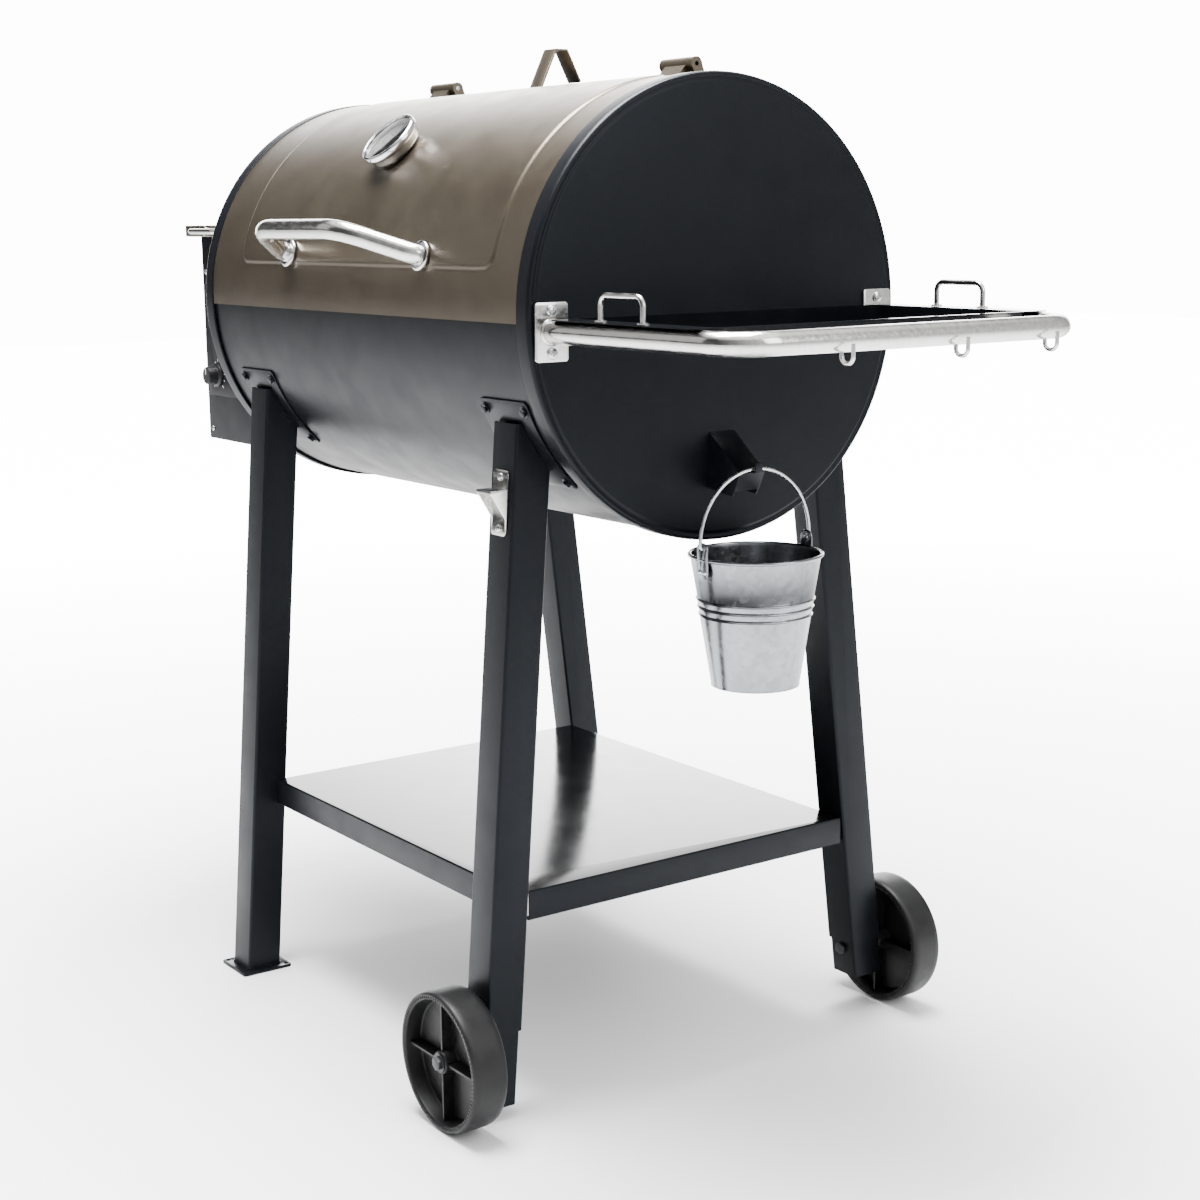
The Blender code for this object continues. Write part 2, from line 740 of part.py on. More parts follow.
HOPPER_PIVOT = (0.5 * (HOPPER_LID_LEFT + HOPPER_RIGHT), HOPPER_PIN_Y, HOPPER_PIN_Z)
hopper_lid = place(
    "hopper_lid",
    block(
        (HOPPER_LID_LEFT, HOPPER_LID_FRONT, HOPPER_LID_SKIRT),
        (HOPPER_RIGHT - GAP, 0.1735, HOPPER_LID_TOP),
    ),
    "bronze_paint",
    HOPPER_PIVOT,
)
cut(
    hopper_lid,
    block((HOPPER_LID_LEFT + 0.002, HOPPER_LID_FRONT + 0.002, 0.05), (-0.78, 0.20, HOPPER_TOP + GAP)),
)
add(hopper_lid, block((HOPPER_KNUCKLE_X[0], 0.168, HOPPER_TOP + GAP), (HOPPER_KNUCKLE_X[1], 0.179, 0.0960)))
add(hopper_lid, rod("x", (HOPPER_PIN_Y, HOPPER_PIN_Z), HOPPER_KNUCKLE_RADIUS, *HOPPER_KNUCKLE_X, 12))
cut(hopper_lid, rod("x", (HOPPER_PIN_Y, HOPPER_PIN_Z), HOPPER_PIN_RADIUS + GAP, -1.02, -0.78, 10))

hinge_leaf = block(
    (HOPPER_HINGE_X[0], HOPPER_HALF - 0.0005, 0.050), (HOPPER_HINGE_X[1], HOPPER_HALF + 0.0020, 0.0860)
)
add(hopper_box, hinge_leaf)
HOPPER_HINGE_ENDS = (
    (HOPPER_HINGE_X[0], HOPPER_KNUCKLE_X[0] - GAP),
    (HOPPER_KNUCKLE_X[1] + GAP, HOPPER_HINGE_X[1]),
)
for low, high in HOPPER_HINGE_ENDS:
    web = [(0.1706, 0.0700), (0.1720, 0.0700), (0.1825, 0.0930), (0.1745, 0.0930)]
    add(hopper_box, prism(web, "x", low, high))
    add(hopper_box, rod("x", (HOPPER_PIN_Y, HOPPER_PIN_Z), HOPPER_KNUCKLE_RADIUS, low, high, 12))
add(hopper_box, rod("x", (HOPPER_PIN_Y, HOPPER_PIN_Z), HOPPER_PIN_RADIUS, *HOPPER_HINGE_X, 10))

grip_middle = 0.5 * (HOPPER_LEFT + HOPPER_RIGHT)
grip_z = 0.5 * (HOPPER_LID_SKIRT + HOPPER_LID_TOP)
grip_path = [
    (grip_middle - 0.045, HOPPER_LID_FRONT - GAP, grip_z),
    (grip_middle - 0.045, HOPPER_LID_FRONT - 0.026, grip_z),
    (grip_middle + 0.045, HOPPER_LID_FRONT - 0.026, grip_z),
    (grip_middle + 0.045, HOPPER_LID_FRONT - GAP, grip_z),
]
hopper_lid_handle = place(
    "hopper_lid_handle", pipe(fillet(grip_path, (0.010, 0.010), 4), 0.004, 2), "stainless", HOPPER_PIVOT
)

# ------------------------------------------------------------------ controls

control_panel = place(
    "control_panel",
    block((PANEL_X[0], PANEL_FACE, PANEL_Z[0]), (PANEL_X[1], -HOPPER_HALF - GAP, PANEL_Z[1])),
    "plastic",
)
panel_holes = rod("y", (KNOB_X, KNOB_Z), KNOB_HOLE, -0.180, -0.165, 10)
rod("y", (BUTTON_X, BUTTON_Z), BUTTON_HOLE, -0.180, -0.165, 12, panel_holes)
cut(control_panel, panel_holes)

temperature_knob = place(
    "temperature_knob",
    turned(
        [
            (0.0, PANEL_FACE - GAP),
            (0.0170, PANEL_FACE - GAP),
            (0.0170, PANEL_FACE - 0.0040),
            (0.0135, PANEL_FACE - 0.0060),
            (0.0125, PANEL_FACE - 0.0190),
            (0.0115, PANEL_FACE - 0.0200),
            (0.0, PANEL_FACE - 0.0200),
        ],
        "y",
        (KNOB_X, KNOB_Z),
        24,
    ),
    "plastic",
    (KNOB_X, PANEL_FACE, KNOB_Z),
)
add(temperature_knob, rod("y", (KNOB_X, KNOB_Z), 0.0030, PANEL_FACE - 0.005, -0.158, 10))
add(
    temperature_knob,
    block(
        (KNOB_X - 0.0012, PANEL_FACE - 0.0207, KNOB_Z + 0.002),
        (KNOB_X + 0.0012, PANEL_FACE - 0.0190, KNOB_Z + 0.0105),
    ),
)

power_button = place(
    "power_button",
    turned(
        [
            (0.0, PANEL_FACE + 0.0015),
            (0.0060, PANEL_FACE + 0.0015),
            (0.0060, PANEL_FACE - 0.0035),
            (0.0050, PANEL_FACE - 0.0045),
            (0.0, PANEL_FACE - 0.0045),
        ],
        "y",
        (BUTTON_X, BUTTON_Z),
        16,
    ),
    "red",
    (BUTTON_X, PANEL_FACE, BUTTON_Z),
)

control_display = place(
    "control_display",
    block((DISPLAY_X[0], PANEL_FACE - 0.0030, DISPLAY_Z[0]), (DISPLAY_X[1], PANEL_FACE - GAP, DISPLAY_Z[1])),
    "glass",
)
bevel(control_display, 0.0010)

power_inlet = place(
    "power_inlet",
    block(
        (INLET_X[0] - 0.008, HOPPER_HALF + GAP, INLET_Z[0] - 0.003),
        (INLET_X[1] + 0.008, HOPPER_HALF + 0.0033, INLET_Z[1] + 0.003),
    ),
    "plastic",
)
add(
    power_inlet,
    block(
        (INLET_X[0] + GAP, HOPPER_HALF - 0.018, INLET_Z[0] + GAP),
        (INLET_X[1] - GAP, HOPPER_HALF + 0.002, INLET_Z[1] - GAP),
    ),
)
cut(
    power_inlet,
    block(
        (INLET_X[0] + 0.004, HOPPER_HALF - 0.014, INLET_Z[0] + 0.004),
        (INLET_X[1] - 0.004, HOPPER_HALF + 0.010, INLET_Z[1] - 0.004),
    ),
)

# ------------------------------------------------------------------ pellet feed, blower and fire

auger_tube = place(
    "auger_tube",
    turned(
        [
            (AUGER_TUBE_OUTER, AUGER_LEFT),
            (AUGER_TUBE_OUTER, AUGER_RIGHT),
            (AUGER_TUBE_INNER, AUGER_RIGHT),
            (AUGER_TUBE_INNER, AUGER_LEFT),
        ],
        "x",
        (0.0, AUGER_Z),
        20,
    ),
    "dark_steel",
)
cut(auger_tube, block((-0.921, -0.017, AUGER_Z + 0.005), (-0.839, 0.017, -0.140)))

SCREW_FROM = -0.936
SCREW_TO = -0.492
SCREW_PITCH = 0.058
SCREW_RADIUS = 0.0215
SCREW_SHAFT = 0.0060


def screw_section(x, turn):
    """One slice of the auger: a five-sided shaft carrying a thin radial blade."""
    ring = []
    for i in range(5):
        angle = turn + math.radians(36 + 72 * i)
        ring.append(Vector((x, SCREW_SHAFT * math.cos(angle), AUGER_Z + SCREW_SHAFT * math.sin(angle))))
    for offset in (-10, 10):
        angle = turn + math.radians(offset)
        ring.append(Vector((x, SCREW_RADIUS * math.cos(angle), AUGER_Z + SCREW_RADIUS * math.sin(angle))))
    return ring


turns = (SCREW_TO - SCREW_FROM) / SCREW_PITCH
slices = round(turns * 9)
auger_screw = place(
    "auger_screw",
    skin(
        [
            screw_section(
                SCREW_FROM + (SCREW_TO - SCREW_FROM) * i / slices, 2 * math.pi * turns * i / slices
            )
            for i in range(slices + 1)
        ],
    ),
    "dark_steel",
    (SCREW_FROM, 0.0, AUGER_Z),
)
add(auger_screw, rod("x", (0.0, AUGER_Z), 0.0050, -0.964, -0.934, 12))

auger_motor = place(
    "auger_motor",
    block((-0.990, -0.028, -0.209), (-0.944, 0.028, -0.151)),
    "dark_steel",
)
add(auger_motor, rod("y", (-0.967, -0.182), 0.018, 0.020, 0.064, 20))
cut(auger_motor, rod("x", (0.0, AUGER_Z), 0.0054, -0.966, -0.930, 12))
bevel(auger_motor, 0.0015)

fan_right = FAN_X + FAN_DEPTH
fan_housing = place(
    "fan_housing",
    rod("x", (FAN_Y, FAN_Z), FAN_RADIUS, FAN_X, fan_right, 24),
    "dark_steel",
)
add(fan_housing, block((fan_right - 0.004, DUCT_Y[0], DUCT_Z[0]), (-0.790, DUCT_Y[1], DUCT_Z[1])))
add(fan_housing, rod("x", (FAN_Y + 0.006, FAN_Z), 0.016, fan_right - 0.001, fan_right + 0.026, 16))
cut(fan_housing, rod("x", (FAN_Y, FAN_Z), FAN_RADIUS - 0.0015, FAN_X + 0.0015, fan_right - 0.0015, 24))
cut(
    fan_housing,
    block(
        (fan_right - 0.006, DUCT_Y[0] + 0.0015, DUCT_Z[0] + 0.0015),
        (-0.780, DUCT_Y[1] - 0.0015, DUCT_Z[1] - 0.0015),
    ),
)
cut(fan_housing, rod("x", (FAN_Y, FAN_Z), 0.022, FAN_X - 0.01, FAN_X + 0.01, 20))

fan_wheel = place(
    "fan_wheel",
    rod("x", (FAN_Y, FAN_Z), 0.036, fan_right - 0.0075, fan_right - 0.0055, 24),
    "plastic",
    (FAN_X + 0.5 * FAN_DEPTH, FAN_Y, FAN_Z),
)
add(fan_wheel, rod("x", (FAN_Y, FAN_Z), 0.010, FAN_X + 0.008, fan_right - 0.0025, 16))
BLADES = 10
blades = bmesh.new()
for i in range(BLADES):
    blade = block((FAN_X + 0.010, -0.0008, 0.020), (fan_right - 0.006, 0.0008, 0.0355))
    turn = Matrix.Rotation(2 * math.pi * i / BLADES, 4, "X")
    moved(blade, Matrix.Translation((0.0, FAN_Y, FAN_Z)) @ turn)
    piece = bpy.data.meshes.new("blade")
    blade.to_mesh(piece)
    blade.free()
    blades.from_mesh(piece)
add(fan_wheel, blades)

fire_pot = place(
    "fire_pot",
    turned(
        [
            (0.0, -0.2525),
            (0.018, -0.2525),
            (0.018, POT_BOTTOM),
            (POT_RADIUS, POT_BOTTOM),
            (POT_RADIUS, POT_TOP),
            (POT_RADIUS - 0.003, POT_TOP),
            (POT_RADIUS - 0.003, POT_BOTTOM + 0.003),
            (0.0, POT_BOTTOM + 0.003),
        ],
        "z",
        (POT_X, 0.0),
        24,
    ),
    "dark_steel",
)
cut(fire_pot, rod("x", (0.0, AUGER_Z), 0.0235, POT_X - 0.07, POT_X, 16))
pot_holes = rod("x", (0.0, IGNITER_Z), IGNITER_HOLE, POT_X - 0.07, POT_X, 8)
for x in (POT_X - 0.020, POT_X + 0.020):
    rod("y", (x, -0.205), 0.0035, -0.06, 0.06, 8, pot_holes)
cut(fire_pot, pot_holes)

igniter_rod = place(
    "igniter_rod",
    turned(
        [
            (0.0, -0.850),
            (IGNITER_HEAD, -0.850),
            (IGNITER_HEAD, -0.835),
            (IGNITER_RADIUS, -0.835),
            (IGNITER_RADIUS, POT_X - POT_RADIUS + 0.006),
            (0.0, POT_X - POT_RADIUS + 0.006),
        ],
        "x",
        (0.0, IGNITER_Z),
        12,
    ),
    "dark_steel",
)

BAFFLE_X = (-0.530, -0.330)
BAFFLE_TOP = -0.1205
heat_baffle = place(
    "heat_baffle",
    prism(
        [
            (-0.075, -0.2420),
            (-0.073, -0.2424),
            (-0.073, BAFFLE_TOP - 0.002),
            (0.073, BAFFLE_TOP - 0.002),
            (0.073, -0.2424),
            (0.075, -0.2420),
            (0.075, BAFFLE_TOP),
            (-0.075, BAFFLE_TOP),
        ],
        "x",
        *BAFFLE_X,
    ),
    "dark_steel",
)

GREASE_X = (-0.780, -0.022)
GREASE_Z = (-0.078, -0.124)
GREASE_HALF = 0.200
GREASE_RISE = 0.030


def grease_section(x, floor):
    """A thin shallow V with turned-up edges, its lowest line in the middle."""
    outer = [
        (-GREASE_HALF, GREASE_RISE + 0.006),
        (-GREASE_HALF, GREASE_RISE),
        (0.0, 0.0),
        (GREASE_HALF, GREASE_RISE),
        (GREASE_HALF, GREASE_RISE + 0.006),
    ]
    inner = [(y * 0.9925, z + 0.0015 if z < GREASE_RISE + 0.005 else z) for y, z in reversed(outer)]
    return [Vector((x, y, floor + z)) for y, z in outer + inner]


grease_tray = place(
    "grease_tray",
    skin([grease_section(x, z) for x, z in zip(GREASE_X, GREASE_Z)]),
    "dark_steel",
)

GRATE_Z = (LEDGE_Z + LEDGE_SHEET + GAP, LEDGE_Z + 0.0083)
GRATE_HALF = 0.2470
SLOT_COUNT = 13
for name, low, high in (
    ("left_cooking_grate", -0.7455, -0.4005),
    ("right_cooking_grate", -0.3975, -0.0525),
):
    grate = place(
        name, block((low, -GRATE_HALF, GRATE_Z[0]), (high, GRATE_HALF, GRATE_Z[1])), "enamel"
    )
    slots = bmesh.new()
    pitch = (high - low - 0.012) / SLOT_COUNT
    for i in range(SLOT_COUNT):
        start = low + 0.009 + pitch * i
        for near, far in ((-GRATE_HALF + 0.010, -0.004), (0.004, GRATE_HALF - 0.010)):
            block((start, near, -0.1), (start + pitch - 0.006, far, 0.1), slots)
    cut(grate, slots)

# ------------------------------------------------------------------ legs and their saddles


def leg_y(row, z):
    """The middle of a leg at a height."""
    return LEG_TOP_Y[row] + LEG_SLOPE[row] * (LEG_TOP - z)


def leg_bar(row, middle, size, bottom, top):
    """A square bar sheared to follow a leg's splay, so that its ends stay level."""
    half = size / 2
    bm = block((middle - half, -half, bottom), (middle + half, half, top))
    for vert in bm.verts:
        vert.co.y += leg_y(row, vert.co.z)
    return bm


SADDLE_OUTER = SHELL_OUTER + 0.0024
for row in ("front", "rear"):
    facing = -1 if row == "front" else 1
    for side, middle in LEG_X.items():
        end = FLOOR + FOOT_THICK + GAP if side == "left" else RIGHT_LEG_END[row]
        leg = place(f"{row}_{side}_leg", leg_bar(row, middle, LEG, end, LEG_TOP), "black_paint")
        cut(leg, leg_bar(row, middle, LEG - 2 * LEG_WALL, end - 0.1, LEG_TOP + 0.1))
        cut(leg, rod("x", (0.0, 0.0), SADDLE_OUTER + 2 * GAP, middle - 0.1, middle + 0.1, ROUND))

        angles = (-20.8, -48.0) if row == "front" else (-159.2, -132.0)
        saddle = place(
            f"{row}_{side}_saddle",
            arc_sheet(middle - 0.048, middle + 0.048, SHELL_OUTER + GAP, SADDLE_OUTER, *sorted(angles), 7),
            "black_paint",
        )
        tongues = bmesh.new()
        for turn in (-1, 1):
            inset = LEG / 2 - LEG_WALL - GAP
            plate_x = sorted((turn * inset, turn * (inset - 0.002)))
            y = leg_y(row, LEG_TOP - 0.06)
            block(
                (middle + plate_x[0], y - 0.016, LEG_TOP - 0.105),
                (middle + plate_x[1], y + 0.016, LEG_TOP - 0.010),
                tongues,
            )
        mesh_tongues = place(f"{row}_{side}_tongues", tongues, None, collection=CUTTERS)
        mesh_tongues.hide_render = True
        mesh_tongues.display_type = "WIRE"
        cut(mesh_tongues, rod("x", (0.0, 0.0), SADDLE_OUTER - 0.0008, middle - 0.1, middle + 0.1, ROUND))
        step = saddle.modifiers.new("union", "BOOLEAN")
        step.operation = "UNION"
        step.solver = "EXACT"
        step.object = mesh_tongues
        bolts = bmesh.new()
        for degrees in (angles[0] - facing * -2.6, angles[1] + facing * -2.6):
            for dx in (-0.039, 0.039):
                radial = Vector((0.0, *at_angle(1.0, degrees)))
                spin = Vector((0.0, 0.0, 1.0)).rotation_difference(radial).to_matrix().to_4x4()
                seat = Vector((middle + dx, *at_angle(SADDLE_OUTER - 0.0010, degrees)))
                head = turned(
                    [(0.0, 0.0), (0.0062, 0.0), (0.0062, 0.0022), (0.0030, 0.0046), (0.0, 0.0046)],
                    "z",
                    (0.0, 0.0),
                    6,
                )
                moved(head, Matrix.Translation(seat) @ spin)
                piece = bpy.data.meshes.new("bolt")
                head.to_mesh(piece)
                head.free()
                bolts.from_mesh(piece)
        add(saddle, bolts)

        if side == "left":
            y = leg_y(row, FLOOR)
            foot = place(
                f"{row}_foot_plate",
                block(
                    (middle - FOOT_HALF, y - FOOT_HALF, FLOOR),
                    (middle + FOOT_HALF, y + FOOT_HALF, FLOOR + FOOT_THICK),
                ),
                "black_paint",
            )
            bevel(foot, 0.0010)

# ------------------------------------------------------------------ wheels


def wheel_profile(inner_face, outward):
    """A dished plastic wheel: hub, web in the middle and a broad rim."""
    return [
        (0.0056, inner_face),
        (0.0135, inner_face),
        (0.0145, inner_face + outward * 0.0180),
        (0.0740, inner_face + outward * 0.0200),
        (0.0760, inner_face + outward * 0.0010),
        (0.0790, inner_face),
        (0.0812, inner_face + outward * 0.0030),
        (WHEEL_RADIUS, inner_face + outward * 0.0110),
        (WHEEL_RADIUS, inner_face + outward * (WHEEL_WIDTH - 0.0110)),
        (0.0812, inner_face + outward * (WHEEL_WIDTH - 0.0030)),
        (0.0790, inner_face + outward * WHEEL_WIDTH),
        (0.0760, inner_face + outward * (WHEEL_WIDTH - 0.0010)),
        (0.0740, inner_face + outward * 0.0240),
        (0.0145, inner_face + outward * 0.0240),
        (0.0135, inner_face + outward * (WHEEL_WIDTH - 0.0040)),
        (0.0056, inner_face + outward * (WHEEL_WIDTH - 0.0040)),
    ]


for row in ("front", "rear"):
    outward = -1 if row == "front" else 1
    middle = LEG_X["right"]
    leg_face = leg_y(row, AXLE_Z) + outward * LEG / 2
    inner_face = leg_face + outward * WHEEL_GAP
    outer_face = inner_face + outward * (WHEEL_WIDTH - 0.004)

    wheel = place(
        f"{row}_wheel",
        turned(wheel_profile(inner_face, outward), "y", (middle, AXLE_Z), 32),
        "plastic",
        (middle, inner_face + outward * WHEEL_WIDTH / 2, AXLE_Z),
    )
    ribs = bmesh.new()
    rib_y = sorted((inner_face + outward * 0.022, inner_face + outward * (WHEEL_WIDTH - 0.010)))
    for turn in range(4):
        rib = block((0.0110, rib_y[0], -0.0012), (0.0760, rib_y[1], 0.0012))
        moved(rib, Matrix.Translation((middle, 0.0, AXLE_Z)) @ Matrix.Rotation(turn * math.pi / 2, 4, "Y"))
        piece = bpy.data.meshes.new("rib")
        rib.to_mesh(piece)
        rib.free()
        ribs.from_mesh(piece)
    add(wheel, ribs)

    sleeve_size = LEG - 2 * LEG_WALL - 2 * GAP
    sleeve = place(
        f"{row}_axle_sleeve",
        leg_bar(row, middle, sleeve_size, SLEEVE_END[row], RIGHT_LEG_END[row] + 0.060),
        "black_paint",
    )
    cut(sleeve, leg_bar(row, middle, sleeve_size - 0.005, SLEEVE_END[row] - 0.1, RIGHT_LEG_END[row] + 0.1))
    cut(sleeve, rod("y", (middle, AXLE_Z), AXLE_RADIUS + GAP, -0.5, 0.5, 12))

    inner_end = leg_y(row, AXLE_Z) - outward * sleeve_size / 2
    bolt = place(
        f"{row}_axle_bolt",
        turned(
            [
                (0.0, inner_end - outward * 0.0060),
                (0.0085, inner_end - outward * 0.0060),
                (0.0085, inner_end - outward * 0.0025),
                (AXLE_RADIUS, inner_end - outward * 0.0025),
                (AXLE_RADIUS, outer_face + outward * GAP),
                (0.0090, outer_face + outward * GAP),
                (0.0090, outer_face + outward * 0.0060),
                (0.0, outer_face + outward * 0.0060),
            ],
            "y",
            (middle, AXLE_Z),
            12,
        ),
        "zinc",
    )

# ------------------------------------------------------------------ shelf

bottom_shelf = place(
    "bottom_shelf",
    block((SHELF_X[0], SHELF_Y[0], SHELF_TOP - SHELF_RAIL), (SHELF_X[1], SHELF_Y[1], SHELF_TOP)),
    "enamel",
)
bevel(bottom_shelf, 0.0015)
cut(
    bottom_shelf,
    block(
        (SHELF_X[0] + SHELF_SHEET, SHELF_Y[0] + SHELF_SHEET, SHELF_TOP - 0.1),
        (SHELF_X[1] - SHELF_SHEET, SHELF_Y[1] - SHELF_SHEET, SHELF_TOP - SHELF_SHEET),
    ),
)
shelf_notch_low = (LEG_X["right"] - LEG / 2 - 0.0006, -0.300, SHELF_TOP - 0.1)
shelf_notch_high = (0.0, leg_y("front", SHELF_TOP) + LEG / 2 + 0.0006, SHELF_TOP + 0.1)
cut(bottom_shelf, block(shelf_notch_low, shelf_notch_high))

# ------------------------------------------------------------------ side rail and serving tray

rail_end = RAIL_PLATE[2] + GAP - 0.001
rail_path = [
    (rail_end, -RAIL_Y, RAIL_Z),
    (RAIL_REACH, -RAIL_Y, RAIL_Z),
    (RAIL_REACH, RAIL_Y, RAIL_Z),
    (rail_end, RAIL_Y, RAIL_Z),
]
rail_line = fillet(rail_path, (RAIL_BEND, RAIL_BEND), 6)
side_rail = place("side_rail", pipe(rail_line, RAIL_RADIUS, 5), "stainless")
for side in (-1, 1):
    half_y, half_z = RAIL_PLATE[0] / 2, RAIL_PLATE[1] / 2
    add(
        side_rail,
        block(
            (GAP, side * RAIL_Y - half_y, RAIL_Z - half_z),
            (GAP + RAIL_PLATE[2], side * RAIL_Y + half_y, RAIL_Z + half_z),
        ),
    )
    heads = bmesh.new()
    for dz in (-0.022, 0.022):
        turned(
            [(0.0, 0.0025), (0.0065, 0.0025), (0.0065, 0.0048), (0.0045, 0.0065), (0.0, 0.0070)],
            "x",
            (side * RAIL_Y, RAIL_Z + dz),
            12,
            heads,
        )
    add(side_rail, heads)
for y in (-0.105, 0.050, 0.180):
    hook_path = [
        (RAIL_REACH + 0.004, y, RAIL_Z - RAIL_RADIUS + 0.003),
        (RAIL_REACH + 0.004, y, RAIL_Z - RAIL_RADIUS - 0.010),
        (RAIL_REACH + 0.020, y, RAIL_Z - RAIL_RADIUS - 0.010),
        (RAIL_REACH + 0.020, y, RAIL_Z - 0.003),
    ]
    add(side_rail, pipe(fillet(hook_path, (0.006, 0.006), 2), 0.0022, 1))

TRAY_FLANGE_Z = RAIL_Z + RAIL_RADIUS + GAP
TRAY_SHEET = 0.0012
PAN_HALF = RAIL_Y - RAIL_RADIUS - 0.004
PAN_FLOOR = RAIL_Z - 0.009
serving_tray = place(
    "serving_tray",
    block(
        (TRAY_X[0], -RAIL_Y - 0.013, TRAY_FLANGE_Z), (TRAY_X[1], RAIL_Y + 0.013, TRAY_FLANGE_Z + TRAY_SHEET)
    ),
    "enamel",
)
add(
    serving_tray,
    block((TRAY_X[0] + 0.004, -PAN_HALF, PAN_FLOOR), (TRAY_X[1] - 0.004, PAN_HALF, TRAY_FLANGE_Z + 0.0006)),
)
cut(
    serving_tray,
    block(
        (TRAY_X[0] + 0.004 + TRAY_SHEET, -PAN_HALF + TRAY_SHEET, PAN_FLOOR + TRAY_SHEET),
        (TRAY_X[1] - 0.004 - TRAY_SHEET, PAN_HALF - TRAY_SHEET, 0.05),
    ),
)
for name, side in (("front_tray_handle", -1), ("rear_tray_handle", 1)):
    y = side * (RAIL_Y + 0.004)
    foot_z = TRAY_FLANGE_Z + TRAY_SHEET + GAP
    tray_handle_path = [
        (TRAY_HANDLE_X - 0.036, y, foot_z),
        (TRAY_HANDLE_X - 0.036, y, foot_z + 0.027),
        (TRAY_HANDLE_X + 0.036, y, foot_z + 0.027),
        (TRAY_HANDLE_X + 0.036, y, foot_z),
    ]
    place(name, pipe(fillet(tray_handle_path, (0.009, 0.009), 4), 0.0030, 2), "stainless")

# ------------------------------------------------------------------ grease spout, bucket and bail

spout_side = [(GAP, -0.136), (0.0545, -0.1780), (0.0400, -0.2050), (GAP, -0.2000)]
grease_spout = place(
    "grease_spout", prism(spout_side, "y", -SPOUT_HALF, SPOUT_HALF), "black_paint"
)
spout_hollow = [(-0.02, -0.1430), (0.0500, -0.1800), (0.0385, -0.2120)]
spout_hollow += [(0.0200, -0.2300), (0.0060, -0.2000), (-0.02, -0.1900)]
cut(grease_spout, prism(spout_hollow, "y", -SPOUT_HALF + 0.002, SPOUT_HALF - 0.002))
chute = strap([(-0.0300, -0.1600), (0.0060, -0.1720)], 0.0015)
add(grease_spout, prism(chute, "y", -0.0150, 0.0165 - GAP))
HOOK_SHEET = 0.0022
HOOK_Z = BAIL_TOP - BAIL_WIRE - GAP - 0.0002 - HOOK_SHEET / 2
hook = strap(
    [(0.0480, -0.1768), (HOOK_X - 0.0030, HOOK_Z), (HOOK_X + 0.0045, HOOK_Z), (HOOK_X + 0.0060, -0.1660)],
    HOOK_SHEET,
)
add(grease_spout, prism(hook, "y", -0.0050, 0.0050))

bail_arch_z = BAIL_TOP - BAIL_RADIUS
bail_path = [(HOOK_X, -BAIL_RADIUS + 0.0095, EAR_Z), (HOOK_X, -BAIL_RADIUS, EAR_Z)]
for i in range(19):
    angle = math.pi * i / 18
    bail_path.append(
        (HOOK_X, -BAIL_RADIUS * math.cos(angle), bail_arch_z + BAIL_RADIUS * math.sin(angle))
    )
bail_path += [(HOOK_X, BAIL_RADIUS, EAR_Z), (HOOK_X, BAIL_RADIUS - 0.0095, EAR_Z)]
bucket_bail = place(
    "bucket_bail", pipe(bail_path, BAIL_WIRE, 1), "galvanised", (HOOK_X, 0.0, BAIL_TOP)
)


def bucket_radius(z):
    """The outside radius of the bucket's tapered wall at a height."""
    share = (z - BUCKET_BOTTOM_Z) / (BUCKET_RIM_Z - BUCKET_BOTTOM_Z)
    return BUCKET_BOTTOM_RADIUS + (BUCKET_RIM_RADIUS - BUCKET_BOTTOM_RADIUS) * share


RIB_Z = (-0.318, -0.327, -0.336)
wall = [(bucket_radius(BUCKET_BOTTOM_Z), BUCKET_BOTTOM_Z)]
for z in sorted(RIB_Z):
    for dz, out in ((-0.003, 0.0), (0.0, 0.0016), (0.003, 0.0)):
        wall.append((bucket_radius(z + dz) + out, z + dz))
wall.append((bucket_radius(BUCKET_RIM_Z - 0.004), BUCKET_RIM_Z - 0.004))
bucket_outline = [(0.0, BUCKET_BOTTOM_Z + 0.002), (BUCKET_BOTTOM_RADIUS - 0.002, BUCKET_BOTTOM_Z + 0.002)]
bucket_outline += [(BUCKET_BOTTOM_RADIUS - 0.001, BUCKET_BOTTOM_Z)] + wall
bucket_outline += [
    (BUCKET_RIM_RADIUS + 0.0022, BUCKET_RIM_Z - 0.0030),
    (BUCKET_RIM_RADIUS + 0.0022, BUCKET_RIM_Z),
    (BUCKET_RIM_RADIUS - BUCKET_SHEET, BUCKET_RIM_Z),
    (BUCKET_BOTTOM_RADIUS - BUCKET_SHEET, BUCKET_BOTTOM_Z + 0.004),
    (0.0, BUCKET_BOTTOM_Z + 0.004),
]
bucket = place(
    "bucket", turned(bucket_outline, "z", (HOOK_X, 0.0), 24), "galvanised", (HOOK_X, 0.0, EAR_Z)
)
for side in (-1, 1):
    ear_y = sorted((side * (BUCKET_RIM_RADIUS - 0.0012), side * (BUCKET_RIM_RADIUS + 0.0008)))
    ear_outline = [(HOOK_X - 0.010, -0.290), (HOOK_X + 0.010, -0.290), (HOOK_X + 0.010, -0.262)]
    ear_outline += [(HOOK_X + 0.006, -0.250), (HOOK_X - 0.006, -0.250), (HOOK_X - 0.010, -0.262)]
    add(bucket, prism(ear_outline, "y", *ear_y))
cut(bucket, rod("y", (HOOK_X, EAR_Z), 0.0026, -0.1, 0.1, 10))

# ------------------------------------------------------------------ bottle opener

